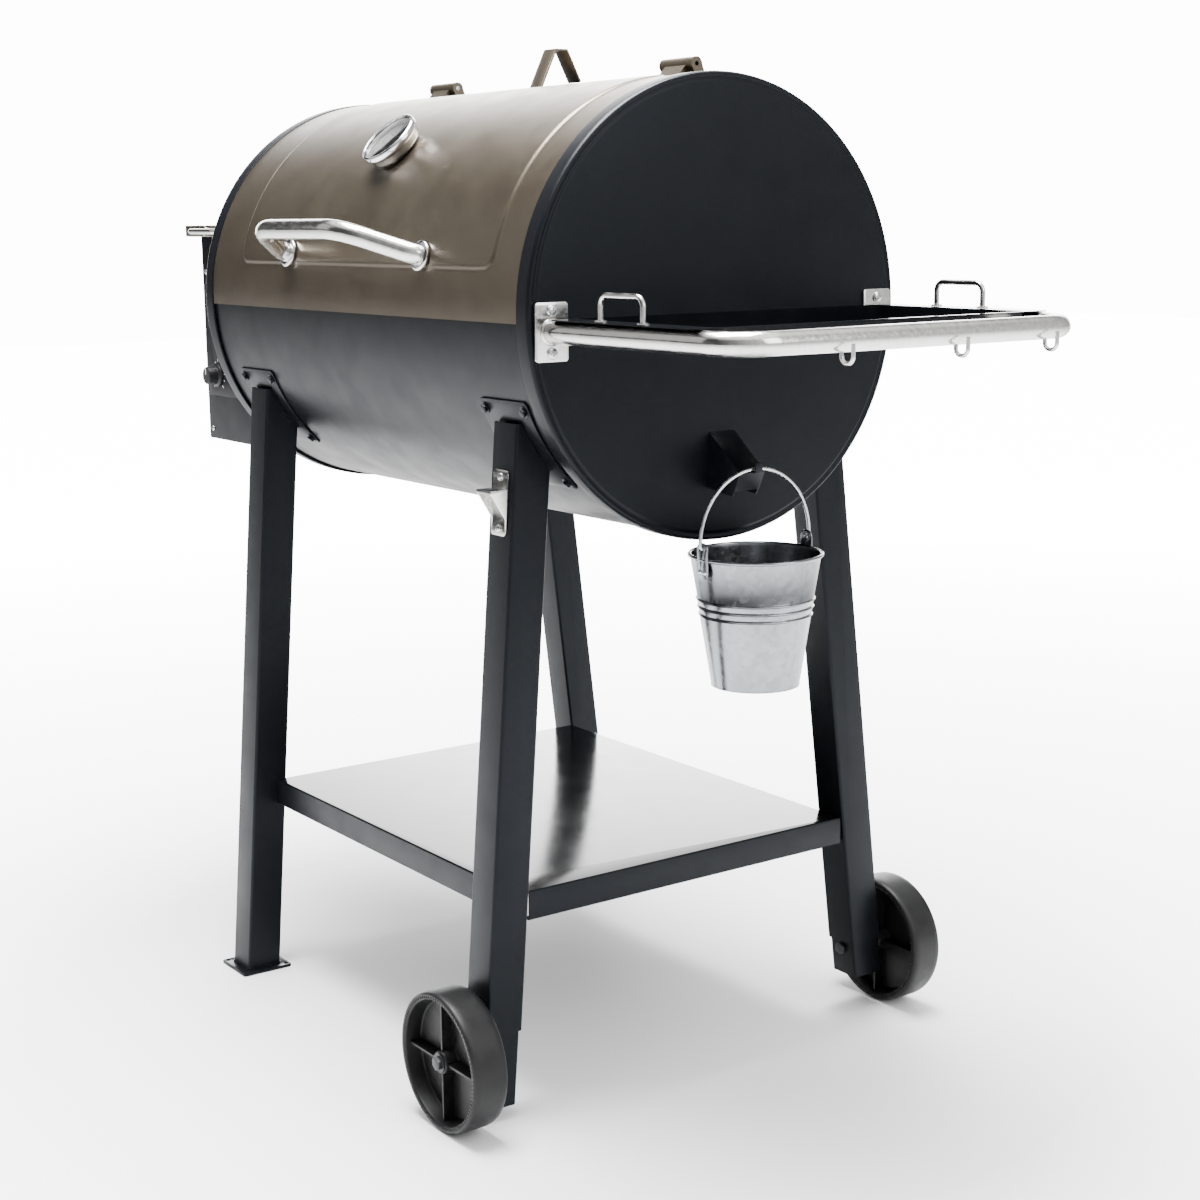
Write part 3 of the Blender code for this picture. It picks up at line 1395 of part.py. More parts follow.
OPENER_X = LEG_X["right"]
opener_lean = Matrix.Rotation(math.atan(LEG_SLOPE["front"]), 4, "X")
opener_seat = Vector((OPENER_X, leg_y("front", -0.205) - LEG / 2, -0.205))
OPENER_PLACE = Matrix.Translation(opener_seat) @ opener_lean
opener = block((-0.015, -0.0024, -0.036), (0.015, -0.0006, 0.037))
bottle_opener = place("bottle_opener", moved(opener, OPENER_PLACE), "zinc")
jaw = [(-0.0012, -0.019), (-0.0012, 0.016), (-0.024, 0.014), (-0.024, 0.010), (-0.0225, 0.010)]
add(bottle_opener, moved(prism(jaw, "x", -0.0150, 0.0150), OPENER_PLACE))
cut(bottle_opener, moved(block((-0.0128, -0.0300, -0.030), (0.0128, -0.0023, 0.0105)), OPENER_PLACE))
for dz in (-0.028, 0.029):
    screw = turned(
        [(0.0, -0.0022), (0.0045, -0.0022), (0.0045, -0.0036), (0.0028, -0.0048), (0.0, -0.0050)],
        "y",
        (0.0, dz),
        10,
    )
    add(bottle_opener, moved(screw, OPENER_PLACE))

for collection in (GRILL, CUTTERS):
    for obj in collection.objects:
        obj.data.shade_smooth()
        obj.data.set_sharp_from_angle(angle=SMOOTH_ANGLE)
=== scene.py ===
import math

import bmesh
import bpy
from mathutils import Matrix, Vector


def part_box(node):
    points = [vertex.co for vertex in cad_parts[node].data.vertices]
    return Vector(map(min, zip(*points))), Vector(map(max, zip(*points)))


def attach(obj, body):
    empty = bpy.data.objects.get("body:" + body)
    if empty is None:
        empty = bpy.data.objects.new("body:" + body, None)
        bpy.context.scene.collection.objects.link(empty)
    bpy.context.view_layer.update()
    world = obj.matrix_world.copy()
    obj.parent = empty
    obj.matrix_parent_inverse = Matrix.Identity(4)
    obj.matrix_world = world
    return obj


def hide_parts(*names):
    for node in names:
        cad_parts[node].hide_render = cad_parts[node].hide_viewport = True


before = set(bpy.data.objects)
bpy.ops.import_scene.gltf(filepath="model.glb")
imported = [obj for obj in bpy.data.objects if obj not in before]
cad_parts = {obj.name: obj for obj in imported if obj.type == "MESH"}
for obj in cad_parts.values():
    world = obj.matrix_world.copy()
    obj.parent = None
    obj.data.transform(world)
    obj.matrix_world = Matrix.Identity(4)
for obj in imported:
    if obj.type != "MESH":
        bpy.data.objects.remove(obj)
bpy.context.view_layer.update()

# --- shared places and sizes; the drum's own come from the frame

RIGHT_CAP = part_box("right_end_cap")
LEFT_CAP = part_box("left_end_cap")
RIM = (RIGHT_CAP[1].z - RIGHT_CAP[0].z) / 2
# Every piece is drawn in barrel coordinates: x along the axis from the right end's face, y back, z up
HOME = Vector(
    (RIGHT_CAP[1].x, (RIGHT_CAP[0].y + RIGHT_CAP[1].y) / 2, (RIGHT_CAP[0].z + RIGHT_CAP[1].z) / 2)
)
LENGTH = RIGHT_CAP[1].x - LEFT_CAP[0].x
FLOOR = -HOME.z
WELD = 0.00001
FINE = 128
GAP = 0.0003
# Where the pellet feed, the igniter and the blower's duct pass through the walls
AUGER = (0.0, -0.18)
AUGER_HOLE = 0.0263
IGNITER = (0.0, -0.222)
IGNITER_HOLE = 0.0053
DUCT_LOW, DUCT_HIGH = (0.06, -0.173), (0.086, -0.137)


def at_home(name):
    """A CAD node's two corners in barrel coordinates."""
    low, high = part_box(name)
    return low - HOME, high - HOME


# --- mesh helpers

LAID_ALONG = {
    "x": Matrix(((0, 0, 1, 0), (1, 0, 0, 0), (0, 1, 0, 0), (0, 0, 0, 1))),
    "y": Matrix(((1, 0, 0, 0), (0, 0, 1, 0), (0, 1, 0, 0), (0, 0, 0, 1))),
    "z": Matrix.Identity(4),
}


def evaluated(obj):
    """The finished mesh of a curve or modified object, welded; the object itself is removed."""
    if not obj.users_collection:
        bpy.context.scene.collection.objects.link(obj)
    bpy.context.view_layer.update()
    graph = bpy.context.evaluated_depsgraph_get()
    mesh = bpy.data.meshes.new_from_object(obj.evaluated_get(graph))
    bpy.data.objects.remove(obj, do_unlink=True)
    bm = bmesh.new()
    bm.from_mesh(mesh)
    bpy.data.meshes.remove(mesh)
    bmesh.ops.remove_doubles(bm, verts=bm.verts, dist=WELD)
    return bm


def gather(target, bm):
    """Put one mesh's faces into another, as a separate shell of the same piece."""
    if target is None:
        return bm
    mesh = bpy.data.meshes.new("gather")
    bm.to_mesh(mesh)
    bm.free()
    target.from_mesh(mesh)
    bpy.data.meshes.remove(mesh)
    return target


def block(low, high, bm=None):
    """A box between any two opposite corners."""
    bm = bm or bmesh.new()
    low, high = Vector(map(min, low, high)), Vector(map(max, low, high))
    middle = Matrix.Translation((low + high) / 2)
    size = Matrix.Diagonal((*(high - low), 1.0))
    bmesh.ops.create_cube(bm, size=1.0, matrix=middle @ size)
    return bm


def prism(outline, axis, low, high, bm=None):
    """A flat outline, filled and extruded along an axis."""
    curve = bpy.data.curves.new("outline", "CURVE")
    curve.dimensions = "2D"
    curve.fill_mode = "BOTH"
    curve.extrude = abs(high - low) / 2
    spline = curve.splines.new("POLY")
    spline.points.add(len(outline) - 1)
    for point, (u, v) in zip(spline.points, outline):
        point.co = (u, v, 0.0, 1.0)
    spline.use_cyclic_u = True
    made = evaluated(bpy.data.objects.new("outline", curve))
    lift = Matrix.Translation((0.0, 0.0, (high + low) / 2))
    bmesh.ops.transform(made, matrix=LAID_ALONG[axis] @ lift, verts=made.verts)
    bmesh.ops.dissolve_limit(made, angle_limit=0.001, verts=made.verts, edges=made.edges)
    return gather(bm, made)


def rod(axis, centre, radius, low, high, count=48, bm=None):
    """A round bar along an axis."""
    bm = bm or bmesh.new()
    place_at = LAID_ALONG[axis] @ Matrix.Translation((*centre, (high + low) / 2))
    depth = abs(high - low)
    bmesh.ops.create_cone(
        bm, cap_ends=True, segments=count, radius1=radius, radius2=radius, depth=depth, matrix=place_at
    )
    return bm


def turned(profile, axis="z", centre=(0.0, 0.0), count=FINE, bm=None):
    """A profile of (radius, along) points turned round an axis; radius 0 ends close on the axis."""
    mesh = bpy.data.meshes.new("profile")
    edges = [(i, i + 1) for i in range(len(profile) - 1)]
    if profile[0][0] > 0.0:
        edges.append((len(profile) - 1, 0))
    mesh.from_pydata([(radius, 0.0, along) for radius, along in profile], edges, [])
    obj = bpy.data.objects.new("profile", mesh)
    screw = obj.modifiers.new("screw", "SCREW")
    screw.steps = count
    screw.render_steps = count
    screw.use_merge_vertices = True
    screw.merge_threshold = WELD
    made = evaluated(obj)
    place_at = LAID_ALONG[axis] @ Matrix.Translation((*centre, 0.0))
    bmesh.ops.transform(made, matrix=place_at, verts=made.verts)
    return gather(bm, made)


def rounded(profile, radius, steps=4):
    """A profile whose inner corners are rounded, each no more than its neighbours allow."""
    points = [Vector(p) for p in profile]
    result = [points[0]]
    for before, corner, after in zip(points, points[1:], points[2:]):
        reach = min(radius, 0.45 * (before - corner).length, 0.45 * (after - corner).length)
        start = corner + (before - corner).normalized() * reach
        end = corner + (after - corner).normalized() * reach
        for i in range(steps + 1):
            t = i / steps
            result.append(start * (1 - t) ** 2 + corner * 2 * t * (1 - t) + end * t * t)
    result.append(points[-1])
    return [tuple(p) for p in result]


def at_angle(radius, degrees):
    """The y and z of a point on the barrel at an angle measured up from the front."""
    angle = math.radians(degrees)
    return (-radius * math.cos(angle), radius * math.sin(angle))


def on_barrel(x, radius, degrees):
    """A point at a radius and an angle round the barrel."""
    return Vector((x, *at_angle(radius, degrees)))


def arc_outline(inner, outer, start, end, steps):
    """The outline of a curved sheet between two angles."""
    angles = [start + (end - start) * i / steps for i in range(steps + 1)]
    return [at_angle(outer, a) for a in angles] + [at_angle(inner, a) for a in reversed(angles)]


def arc_sheet(low, high, inner, outer, start, end):
    """A curved sheet lying on the barrel between two angles, one quad for every step."""
    bm = bmesh.new()
    steps = max(4, round(abs(end - start) / 2.5))
    outline = arc_outline(inner, outer, start, end, steps)
    rings = []
    for along in (low, high):
        rings.append([bm.verts.new((along, y, z)) for y, z in outline])
    count = len(outline)
    for i in range(count):
        j = (i + 1) % count
        bm.faces.new((rings[0][i], rings[0][j], rings[1][j], rings[1][i]))
    for ring in rings:
        for i in range(steps):
            bm.faces.new((ring[i], ring[i + 1], ring[count - 2 - i], ring[count - 1 - i]))
    return bm


def pipe(path, radius, resolution=8):
    """A round tube along a path of points, as a bevelled curve with closed ends."""
    curve = bpy.data.curves.new("pipe", "CURVE")
    curve.dimensions = "3D"
    curve.bevel_depth = radius
    curve.bevel_resolution = resolution
    curve.use_fill_caps = True
    spline = curve.splines.new("POLY")
    spline.points.add(len(path) - 1)
    for point, place_at in zip(spline.points, path):
        point.co = (*place_at, 1.0)
    return evaluated(bpy.data.objects.new("pipe", curve))


def fillet(path, radii, steps=12):
    """The same path with each inner corner rounded to its radius."""
    path = [Vector(p) for p in path]
    result = [path[0]]
    for before, corner, after, radius in zip(path, path[1:], path[2:], radii):
        to_before = (before - corner).normalized()
        to_after = (after - corner).normalized()
        half = 0.5 * to_before.angle(to_after)
        reach = radius / math.tan(half)
        start = corner + to_before * reach
        end = corner + to_after * reach
        centre = corner + (to_before + to_after).normalized() * (radius / math.sin(half))
        for i in range(steps + 1):
            blend = (start - centre).lerp(end - centre, i / steps).normalized()
            result.append(centre + blend * radius)
    result.append(path[-1])
    return result


def rounded_rect(u0, v0, u1, v1, radius, steps=6):
    """The outline of a rectangle with round corners."""
    corners = (
        (u1 - radius, v1 - radius, 0),
        (u0 + radius, v1 - radius, 90),
        (u0 + radius, v0 + radius, 180),
        (u1 - radius, v0 + radius, 270),
    )
    outline = []
    for u, v, start in corners:
        for i in range(steps + 1):
            angle = math.radians(start + 90 * i / steps)
            outline.append((u + radius * math.cos(angle), v + radius * math.sin(angle)))
    return outline


def strap(points, thickness):
    """The outline of a bent flat strip whose middle line passes through the points."""
    points = [Vector(p) for p in points]
    sides = ([], [])
    for i, point in enumerate(points):
        along_in = (point - points[i - 1]).normalized() if i else (points[1] - point).normalized()
        along_out = (points[i + 1] - point).normalized() if i < len(points) - 1 else along_in
        both = along_in + along_out
        normal = Vector((-both.y, both.x)).normalized()
        reach = 0.5 * thickness / max(normal.dot(Vector((-along_in.y, along_in.x))), 0.3)
        sides[0].append(tuple(point + normal * reach))
        sides[1].append(tuple(point - normal * reach))
    return sides[0] + sides[1][::-1]


def moved(bm, matrix):
    """The same mesh after a move."""
    bmesh.ops.transform(bm, matrix=matrix, verts=bm.verts)
    return bm


def hex_bolt(radius, height, washer=True):
    """A hexagon bolt head with a domed top on a washer, standing on z = 0."""
    bm = bmesh.new()
    if washer:
        rim, top = radius * 1.35, height * 0.22
        turned([(0.0, 0.0), (rim, 0.0), (rim, top), (0.0, top)], count=32, bm=bm)
    head = bmesh.new()
    base = height * 0.2 if washer else 0.0
    bmesh.ops.create_cone(
        head, cap_ends=True, segments=6, radius1=radius, radius2=radius, depth=height - base,
        matrix=Matrix.Translation((0.0, 0.0, (height + base) / 2)),
    )
    edges = [e for e in head.edges if all(v.co.z > height * 0.9 for v in e.verts)]
    bmesh.ops.bevel(head, geom=edges, offset=radius * 0.16, segments=2, affect="EDGES", profile=0.5)
    return gather(bm, head)


def screw_head(radius, height):
    """A domed head with a cross-shaped recess, standing on z = 0."""
    dome = [(0.0, height)]
    for i in range(1, 9):
        angle = math.pi / 2 * (1 - i / 8)
        dome.append((radius * math.cos(angle), height * (0.35 + 0.65 * math.sin(angle))))
    head = solid("screw_head", turned(dome + [(radius, 0.0), (0.0, 0.0)], count=32))
    reach, half = radius * 0.6, radius * 0.12
    for turn in (0.0, math.pi / 2):
        slot = block((-reach, -half, height * 0.45), (reach, half, height * 2))
        cut(head, moved(slot, Matrix.Rotation(turn, 4, "Z")))
    made = evaluated(head)
    clear_cutters()
    return made


def stand_on(point, normal):
    """The move that stands a piece made on z = 0 at a point, facing along a normal."""
    turn = Vector((0.0, 0.0, 1.0)).rotation_difference(Vector(normal)).to_matrix().to_4x4()
    return Matrix.Translation(Vector(point)) @ turn


def spun(centre, degrees):
    """A turn about the y direction through a point given by its x and z."""
    return Matrix.Translation((centre[0], 0.0, centre[1])) @ Matrix.Rotation(math.radians(degrees), 4, "Y")


def add_screw(bm, radius, height, point, normal):
    """Add a screw head that stands at a point and faces along a normal."""
    gather(bm, moved(screw_head(radius, height), stand_on(point, normal)))


def inset(rect, by, by_v=None):
    """A rectangle (u0, v0, u1, v1) with its sides moved in."""
    by_v = by if by_v is None else by_v
    return (rect[0] + by, rect[1] + by_v, rect[2] - by, rect[3] - by_v)


CUTTERS = []


def soften(obj, width, segments=3, angle=40.0):
    """Round an object's sharp edges before anything is cut from it."""
    step = obj.modifiers.new("edges", "BEVEL")
    step.width = width
    step.segments = segments
    step.limit_method = "ANGLE"
    step.angle_limit = math.radians(angle)
    return obj


def solid(name, bm):
    """An object holding a mesh in barrel coordinates, ready for modifiers."""
    bmesh.ops.recalc_face_normals(bm, faces=bm.faces)
    mesh = bpy.data.meshes.new(name)
    bm.to_mesh(mesh)
    bm.free()
    obj = bpy.data.objects.new(name, mesh)
    bpy.context.scene.collection.objects.link(obj)
    return obj


def combine(obj, bm, operation):
    """Queue a boolean with a helper mesh, which is kept until the helpers are cleared."""
    helper = solid(f"{obj.name}_helper", bm)
    CUTTERS.append(helper)
    step = obj.modifiers.new(operation.lower(), "BOOLEAN")
    step.operation = operation
    step.solver = "EXACT"
    step.object = helper


def cut(obj, bm):
    """Take a mesh away from an object."""
    combine(obj, bm, "DIFFERENCE")


def join(obj, bm):
    """Fuse a mesh to an object."""
    combine(obj, bm, "UNION")


def clear_cutters():
    """Remove the booleans' helper objects once they have been used."""
    while CUTTERS:
        bpy.data.objects.remove(CUTTERS.pop(), do_unlink=True)


def piece(name, shape, material, body, replaces=(), bevel=0.0, segments=2, sharp=35.0):
    """Finish a piece: round its edges, shade it, move it home, and hang it on its body."""
    obj = shape if isinstance(shape, bpy.types.Object) else solid(name, shape)
    if bevel:
        soften(obj, bevel, segments)
    bm = evaluated(obj)
    clear_cutters()
    bmesh.ops.translate(bm, verts=bm.verts, vec=HOME)
    mesh = bpy.data.meshes.new(name)
    bm.to_mesh(mesh)
    bm.free()
    mesh.shade_smooth()
    mesh.set_sharp_from_angle(angle=math.radians(sharp))
    made = bpy.data.objects.new(name, mesh)
    bpy.context.scene.collection.objects.link(made)
    mesh.materials.append(material)
    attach(made, body)
    if isinstance(replaces, str):
        replaces = (replaces,)
    if replaces:
        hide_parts(*replaces)
    return made


# --- materials


def material(name, colour, metallic, roughness, **sockets):
    """A Principled material whose even values sit on the shader itself."""
    made = bpy.data.materials.new(name)
    made.use_nodes = True
    nodes = made.node_tree.nodes
    shader = nodes["Principled BSDF"]
    shader.inputs["Base Color"].default_value = (*colour, 1.0)
    shader.inputs["Metallic"].default_value = metallic
    shader.inputs["Roughness"].default_value = roughness
    for socket, value in sockets.items():
        shader.inputs[socket.replace("_", " ")].default_value = value
    return made, made.node_tree, shader


def noise(tree, scale, detail=2.0, stretch=(1.0, 1.0, 1.0), roughness=0.5):
    """Noise in the object's own coordinates, stretched along its axes."""
    where = tree.nodes.new("ShaderNodeTexCoord")
    spread = tree.nodes.new("ShaderNodeMapping")
    spread.inputs["Scale"].default_value = stretch
    texture = tree.nodes.new("ShaderNodeTexNoise")
    texture.inputs["Scale"].default_value = scale
    texture.inputs["Detail"].default_value = detail
    texture.inputs["Roughness"].default_value = roughness
    tree.links.new(where.outputs["Object"], spread.inputs["Vector"])
    tree.links.new(spread.outputs["Vector"], texture.inputs["Vector"])
    return texture.outputs["Fac"]


def ramp(tree, value, low, high, start=0.3, end=0.7):
    """A two-colour ramp over part of a value's range."""
    node = tree.nodes.new("ShaderNodeValToRGB")
    node.color_ramp.elements[0].position = start
    node.color_ramp.elements[1].position = end
    node.color_ramp.elements[0].color = (*low, 1.0)
    node.color_ramp.elements[1].color = (*high, 1.0)
    tree.links.new(value, node.inputs["Fac"])
    return node.outputs["Color"]


def spread(tree, value, low, high, start=0.3, end=0.7):
    """A value mapped to a range."""
    node = tree.nodes.new("ShaderNodeMapRange")
    node.inputs["From Min"].default_value = start
    node.inputs["From Max"].default_value = end
    node.inputs["To Min"].default_value = low
    node.inputs["To Max"].default_value = high
    tree.links.new(value, node.inputs["Value"])
    return node.outputs["Result"]


def bump(tree, shader, height, strength, distance):
    """Fine surface relief from a height value."""
    node = tree.nodes.new("ShaderNodeBump")
    node.inputs["Strength"].default_value = strength
    node.inputs["Distance"].default_value = distance
    tree.links.new(height, node.inputs["Height"])
    tree.links.new(node.outputs["Normal"], shader.inputs["Normal"])


def painted(name, dark, light, metallic, rough, grain, depth, **sockets):
    """Sprayed or powder-coated paint: even colour with slow drift, and a fine pebbled surface."""
    made, tree, shader = material(name, dark, metallic, rough[0], **sockets)
    slow = noise(tree, 7.0, 3.0)
    tree.links.new(ramp(tree, slow, dark, light), shader.inputs["Base Color"])
    tree.links.new(spread(tree, noise(tree, 23.0, 4.0), *rough), shader.inputs["Roughness"])
    bump(tree, shader, noise(tree, grain, 2.0), 0.35, depth)
    return made


def metal(name, colour, rough, stretch, grain=220.0, depth=0.00006):
    """Bare metal with drawn streaks and uneven polish."""
    made, tree, shader = material(name, colour, 1.0, rough[0])
    dull = tuple(0.78 * c for c in colour)
    streaks = noise(tree, grain, 5.0, stretch)
    tree.links.new(ramp(tree, streaks, dull, colour, 0.25, 0.75), shader.inputs["Base Color"])
    tree.links.new(spread(tree, streaks, *rough), shader.inputs["Roughness"])
    bump(tree, shader, streaks, 0.25, depth)
    return made


def spangled(name):
    """Galvanised sheet: zinc crystals of different brightness, slightly dulled."""
    made, tree, shader = material(name, (0.4, 0.41, 0.42), 1.0, 0.3)
    where = tree.nodes.new("ShaderNodeTexCoord")
    crystals = tree.nodes.new("ShaderNodeTexVoronoi")
    crystals.inputs["Scale"].default_value = 150.0
    tree.links.new(where.outputs["Object"], crystals.inputs["Vector"])
    split = tree.nodes.new("ShaderNodeSeparateColor")
    tree.links.new(crystals.outputs["Color"], split.inputs["Color"])
    flake = split.outputs["Red"]
    colour = ramp(tree, flake, (0.19, 0.2, 0.21), (0.25, 0.26, 0.27), 0.0, 1.0)
    tree.links.new(colour, shader.inputs["Base Color"])
    tree.links.new(spread(tree, flake, 0.18, 0.26, 0.0, 1.0), shader.inputs["Roughness"])
    bump(tree, shader, noise(tree, 260.0, 3.0, (1.0, 1.0, 0.1)), 0.3, 0.00008)
    return made


def moulded(name, dark, light, rough):
    """Moulded plastic with a matt skin and light scuffs."""
    made, tree, shader = material(name, dark, 0.0, rough[0], Specular_IOR_Level=0.25)
    scuffs = noise(tree, 60.0, 8.0, roughness=0.7)
    tree.links.new(ramp(tree, scuffs, dark, light, 0.45, 0.85), shader.inputs["Base Color"])
    tree.links.new(spread(tree, scuffs, *rough), shader.inputs["Roughness"])
    bump(tree, shader, noise(tree, 900.0, 2.0), 0.25, 0.00015)
    return made


def sooty(name, colour, light, rough):
    """Plain steel that has been hot: blotched colour and a dull, uneven surface."""
    made, tree, shader = material(name, colour, 0.85, rough[0])
    blotch = noise(tree, 18.0, 6.0, roughness=0.65)
    tree.links.new(ramp(tree, blotch, colour, light), shader.inputs["Base Color"])
    tree.links.new(spread(tree, blotch, *rough), shader.inputs["Roughness"])
    bump(tree, shader, noise(tree, 400.0, 4.0), 0.3, 0.0001)
    return made


BLACK = painted(
    "black_paint", (0.0022, 0.0026, 0.0036), (0.0034, 0.0039, 0.0052), 0.0, (0.33, 0.42), 520.0, 0.00025,
    Specular_IOR_Level=0.12, Specular_Tint=(0.84, 0.92, 1.0, 1.0),
)
BRONZE = painted(
    "bronze_paint", (0.094, 0.077, 0.056), (0.108, 0.09, 0.067), 0.85, (0.28, 0.36), 640.0, 0.00022
)
ENAMEL = painted(
    "black_enamel", (0.0022, 0.0025, 0.0034), (0.0032, 0.0036, 0.0046), 0.0, (0.13, 0.19), 300.0, 0.00003,
    Specular_IOR_Level=0.16,
)
STAINLESS = metal("stainless", (0.66, 0.65, 0.63), (0.12, 0.24), (0.3, 1.0, 1.0))
ZINC = metal("zinc_plate", (0.64, 0.65, 0.66), (0.22, 0.36), (1.0, 1.0, 0.4), 160.0)
CHROME = metal("chrome", (0.72, 0.72, 0.73), (0.05, 0.12), (1.0, 1.0, 1.0), 90.0, 0.00002)
GALVANISED = spangled("galvanised")
PLASTIC = moulded("wheel_plastic", (0.002, 0.002, 0.0024), (0.006, 0.006, 0.0065), (0.4, 0.55))
PANEL_PAINT = moulded("panel_plastic", (0.005, 0.005, 0.006), (0.009, 0.009, 0.011), (0.42, 0.52))
RED = moulded("button_plastic", (0.45, 0.015, 0.012), (0.52, 0.025, 0.02), (0.25, 0.35))
STEEL = sooty("hot_steel", (0.06, 0.058, 0.058), (0.16, 0.15, 0.145), (0.38, 0.62))
IRON = sooty("grate_enamel", (0.012, 0.012, 0.013), (0.03, 0.029, 0.028), (0.3, 0.5))
BOLT = sooty("black_oxide", (0.02, 0.02, 0.022), (0.045, 0.045, 0.047), (0.35, 0.5))
CAST = sooty("motor_metal", (0.28, 0.28, 0.29), (0.4, 0.4, 0.41), (0.4, 0.6))
DIAL = painted("dial_face", (0.78, 0.78, 0.76), (0.84, 0.84, 0.82), 0.0, (0.35, 0.45), 500.0, 0.00004)
INK = moulded("dial_marks", (0.01, 0.01, 0.011), (0.014, 0.014, 0.015), (0.4, 0.5))
ZONE = painted("dial_zone", (0.5, 0.09, 0.03), (0.56, 0.11, 0.04), 0.0, (0.35, 0.45), 500.0, 0.00004)


def clear_glass(name):
    """Clear glass with faint smears."""
    made, tree, shader = material(name, (1.0, 1.0, 1.0), 0.0, 0.04, IOR=1.45, Transmission_Weight=1.0)
    tree.links.new(spread(tree, noise(tree, 30.0, 3.0), 0.02, 0.07), shader.inputs["Roughness"])
    return made


GLASS = clear_glass("gauge_glass_clear")
SCREEN = moulded("display_window", (0.004, 0.006, 0.006), (0.006, 0.009, 0.009), (0.06, 0.12))


# --- camera, light and floor


BACKDROP = 14.0


def add_camera():
    """The viewpoint: standing off the right front corner, looking slightly down."""
    azimuth, pitch, roll = math.radians(54.725), math.radians(10.786), math.radians(-0.655)
    forward = Vector(
        (-math.sin(azimuth) * math.cos(pitch), math.cos(azimuth) * math.cos(pitch), -math.sin(pitch))
    )
    level = Vector((math.cos(azimuth), math.sin(azimuth), 0.0))
    up = level.cross(forward)
    right = level * math.cos(roll) + up * math.sin(roll)
    top = up * math.cos(roll) - level * math.sin(roll)
    data = bpy.data.cameras.new("camera")
    data.lens = 61.13
    data.sensor_width = 36.0
    camera = bpy.data.objects.new("camera", data)
    turn = Matrix((right, top, -forward)).transposed().to_4x4()
    camera.matrix_world = Matrix.Translation(HOME + Vector((6.91, -5.548, 0.42)) * RIM) @ turn
    bpy.context.scene.collection.objects.link(camera)
    bpy.context.scene.camera = camera
    return forward


def add_floor():
    """A plain pale floor that, for camera rays only, glows more the further it lies from the middle: a
    painted glow that fades it into the white backdrop.
    """
    bm = bmesh.new()
    bmesh.ops.create_grid(bm, x_segments=1, y_segments=1, size=14.0)
    mesh = bpy.data.meshes.new("floor")
    bm.to_mesh(mesh)
    bm.free()
    floor = bpy.data.objects.new("floor", mesh)
    bpy.context.scene.collection.objects.link(floor)
    made, tree, shader = material("floor_paint", (0.86, 0.86, 0.87), 0.0, 0.8)
    pale = ramp(tree, noise(tree, 1.5, 2.0), (0.85, 0.85, 0.86), (0.87, 0.87, 0.88))
    tree.links.new(pale, shader.inputs["Base Color"])
    # Painted glow: for camera rays only, the floor emits light that rises from nothing at 0.7 m out to full
    # backdrop strength at 4 m out, so the far floor shows white.
    where = tree.nodes.new("ShaderNodeTexCoord")
    far = tree.nodes.new("ShaderNodeVectorMath")
    far.operation = "LENGTH"
    tree.links.new(where.outputs["Object"], far.inputs[0])
    seen = tree.nodes.new("ShaderNodeLightPath")
    painted_glow = tree.nodes.new("ShaderNodeMath")
    painted_glow.operation = "MULTIPLY"
    tree.links.new(spread(tree, far.outputs["Value"], 0.0, BACKDROP, 0.7, 4.0), painted_glow.inputs[0])
    tree.links.new(seen.outputs["Is Camera Ray"], painted_glow.inputs[1])
    tree.links.new(painted_glow.outputs["Value"], shader.inputs["Emission Strength"])
    shader.inputs["Emission Color"].default_value = (1.0, 1.0, 1.0, 1.0)
    mesh.materials.append(made)


def add_world(forward):
    """A pale surround, brightest beyond the grill, dim on the left and brighter on the right."""
    world = bpy.data.worlds.new("studio")
    bpy.context.scene.world = world
    world.use_nodes = True
    tree = world.node_tree
    background = tree.nodes["Background"]
    where = tree.nodes.new("ShaderNodeTexCoord")
    facing = aligned(tree, where, Vector((forward.x, forward.y, 0.0)).normalized())
    height = tree.nodes.new("ShaderNodeSeparateXYZ")
    tree.links.new(where.outputs["Generated"], height.inputs[0])
    around = spread(tree, aligned(tree, where, (0.85, 0.53, 0.0)), 0.1, 1.1, -0.4, 1.0)
    beyond = spread(tree, facing, 0.0, BACKDROP, 0.8, 0.97)
    above = spread(tree, height.outputs["Z"], 0.0, 2.0, 0.62, 0.85)
    level = added(tree, added(tree, around, beyond), above)
    seen = tree.nodes.new("ShaderNodeLightPath")
    pick = tree.nodes.new("ShaderNodeMix")
    pick.inputs["B"].default_value = BACKDROP
    tree.links.new(seen.outputs["Is Camera Ray"], pick.inputs["Factor"])
    tree.links.new(level, pick.inputs["A"])
    tree.links.new(pick.outputs["Result"], background.inputs["Strength"])
    background.inputs["Color"].default_value = (1.0, 1.0, 1.0, 1.0)


def aligned(tree, where, direction):
    """How far a direction of view points along another direction."""
    node = tree.nodes.new("ShaderNodeVectorMath")
    node.operation = "DOT_PRODUCT"
    node.inputs[1].default_value = direction
    tree.links.new(where.outputs["Generated"], node.inputs[0])
    return node.outputs["Value"]


def added(tree, first, second):
    """Two values added."""
    node = tree.nodes.new("ShaderNodeMath")
    tree.links.new(first, node.inputs[0])
    tree.links.new(second, node.inputs[1])
    return node.outputs["Value"]


def add_light(name, place_at, aim, size, power):
    """A soft rectangular lamp aimed at a point in barrel coordinates."""
    data = bpy.data.lights.new(name, "AREA")
    data.shape = "RECTANGLE"
    data.size, data.size_y = size
    data.energy = power
    lamp = bpy.data.objects.new(name, data)
    start = HOME + Vector(place_at)
    lamp.location = start
    lamp.rotation_euler = (HOME + Vector(aim) - start).to_track_quat("-Z", "Y").to_euler()
    bpy.context.scene.collection.objects.link(lamp)


FORWARD = add_camera()
add_floor()
add_world(FORWARD)
add_light("overhead", (-0.5, -0.1, 2.3), (-0.4, 0.0, 0.0), (1.9, 1.7), 650.0)
add_light("left_front", (-2.6, -2.4, 1.3), (-0.4, 0.0, 0.0), (1.8, 2.0), 8.0)
add_light("right_side", (2.6, 0.8, 1.2), (0.0, 0.0, -0.1), (1.6, 1.8), 60.0)

# --- barrel

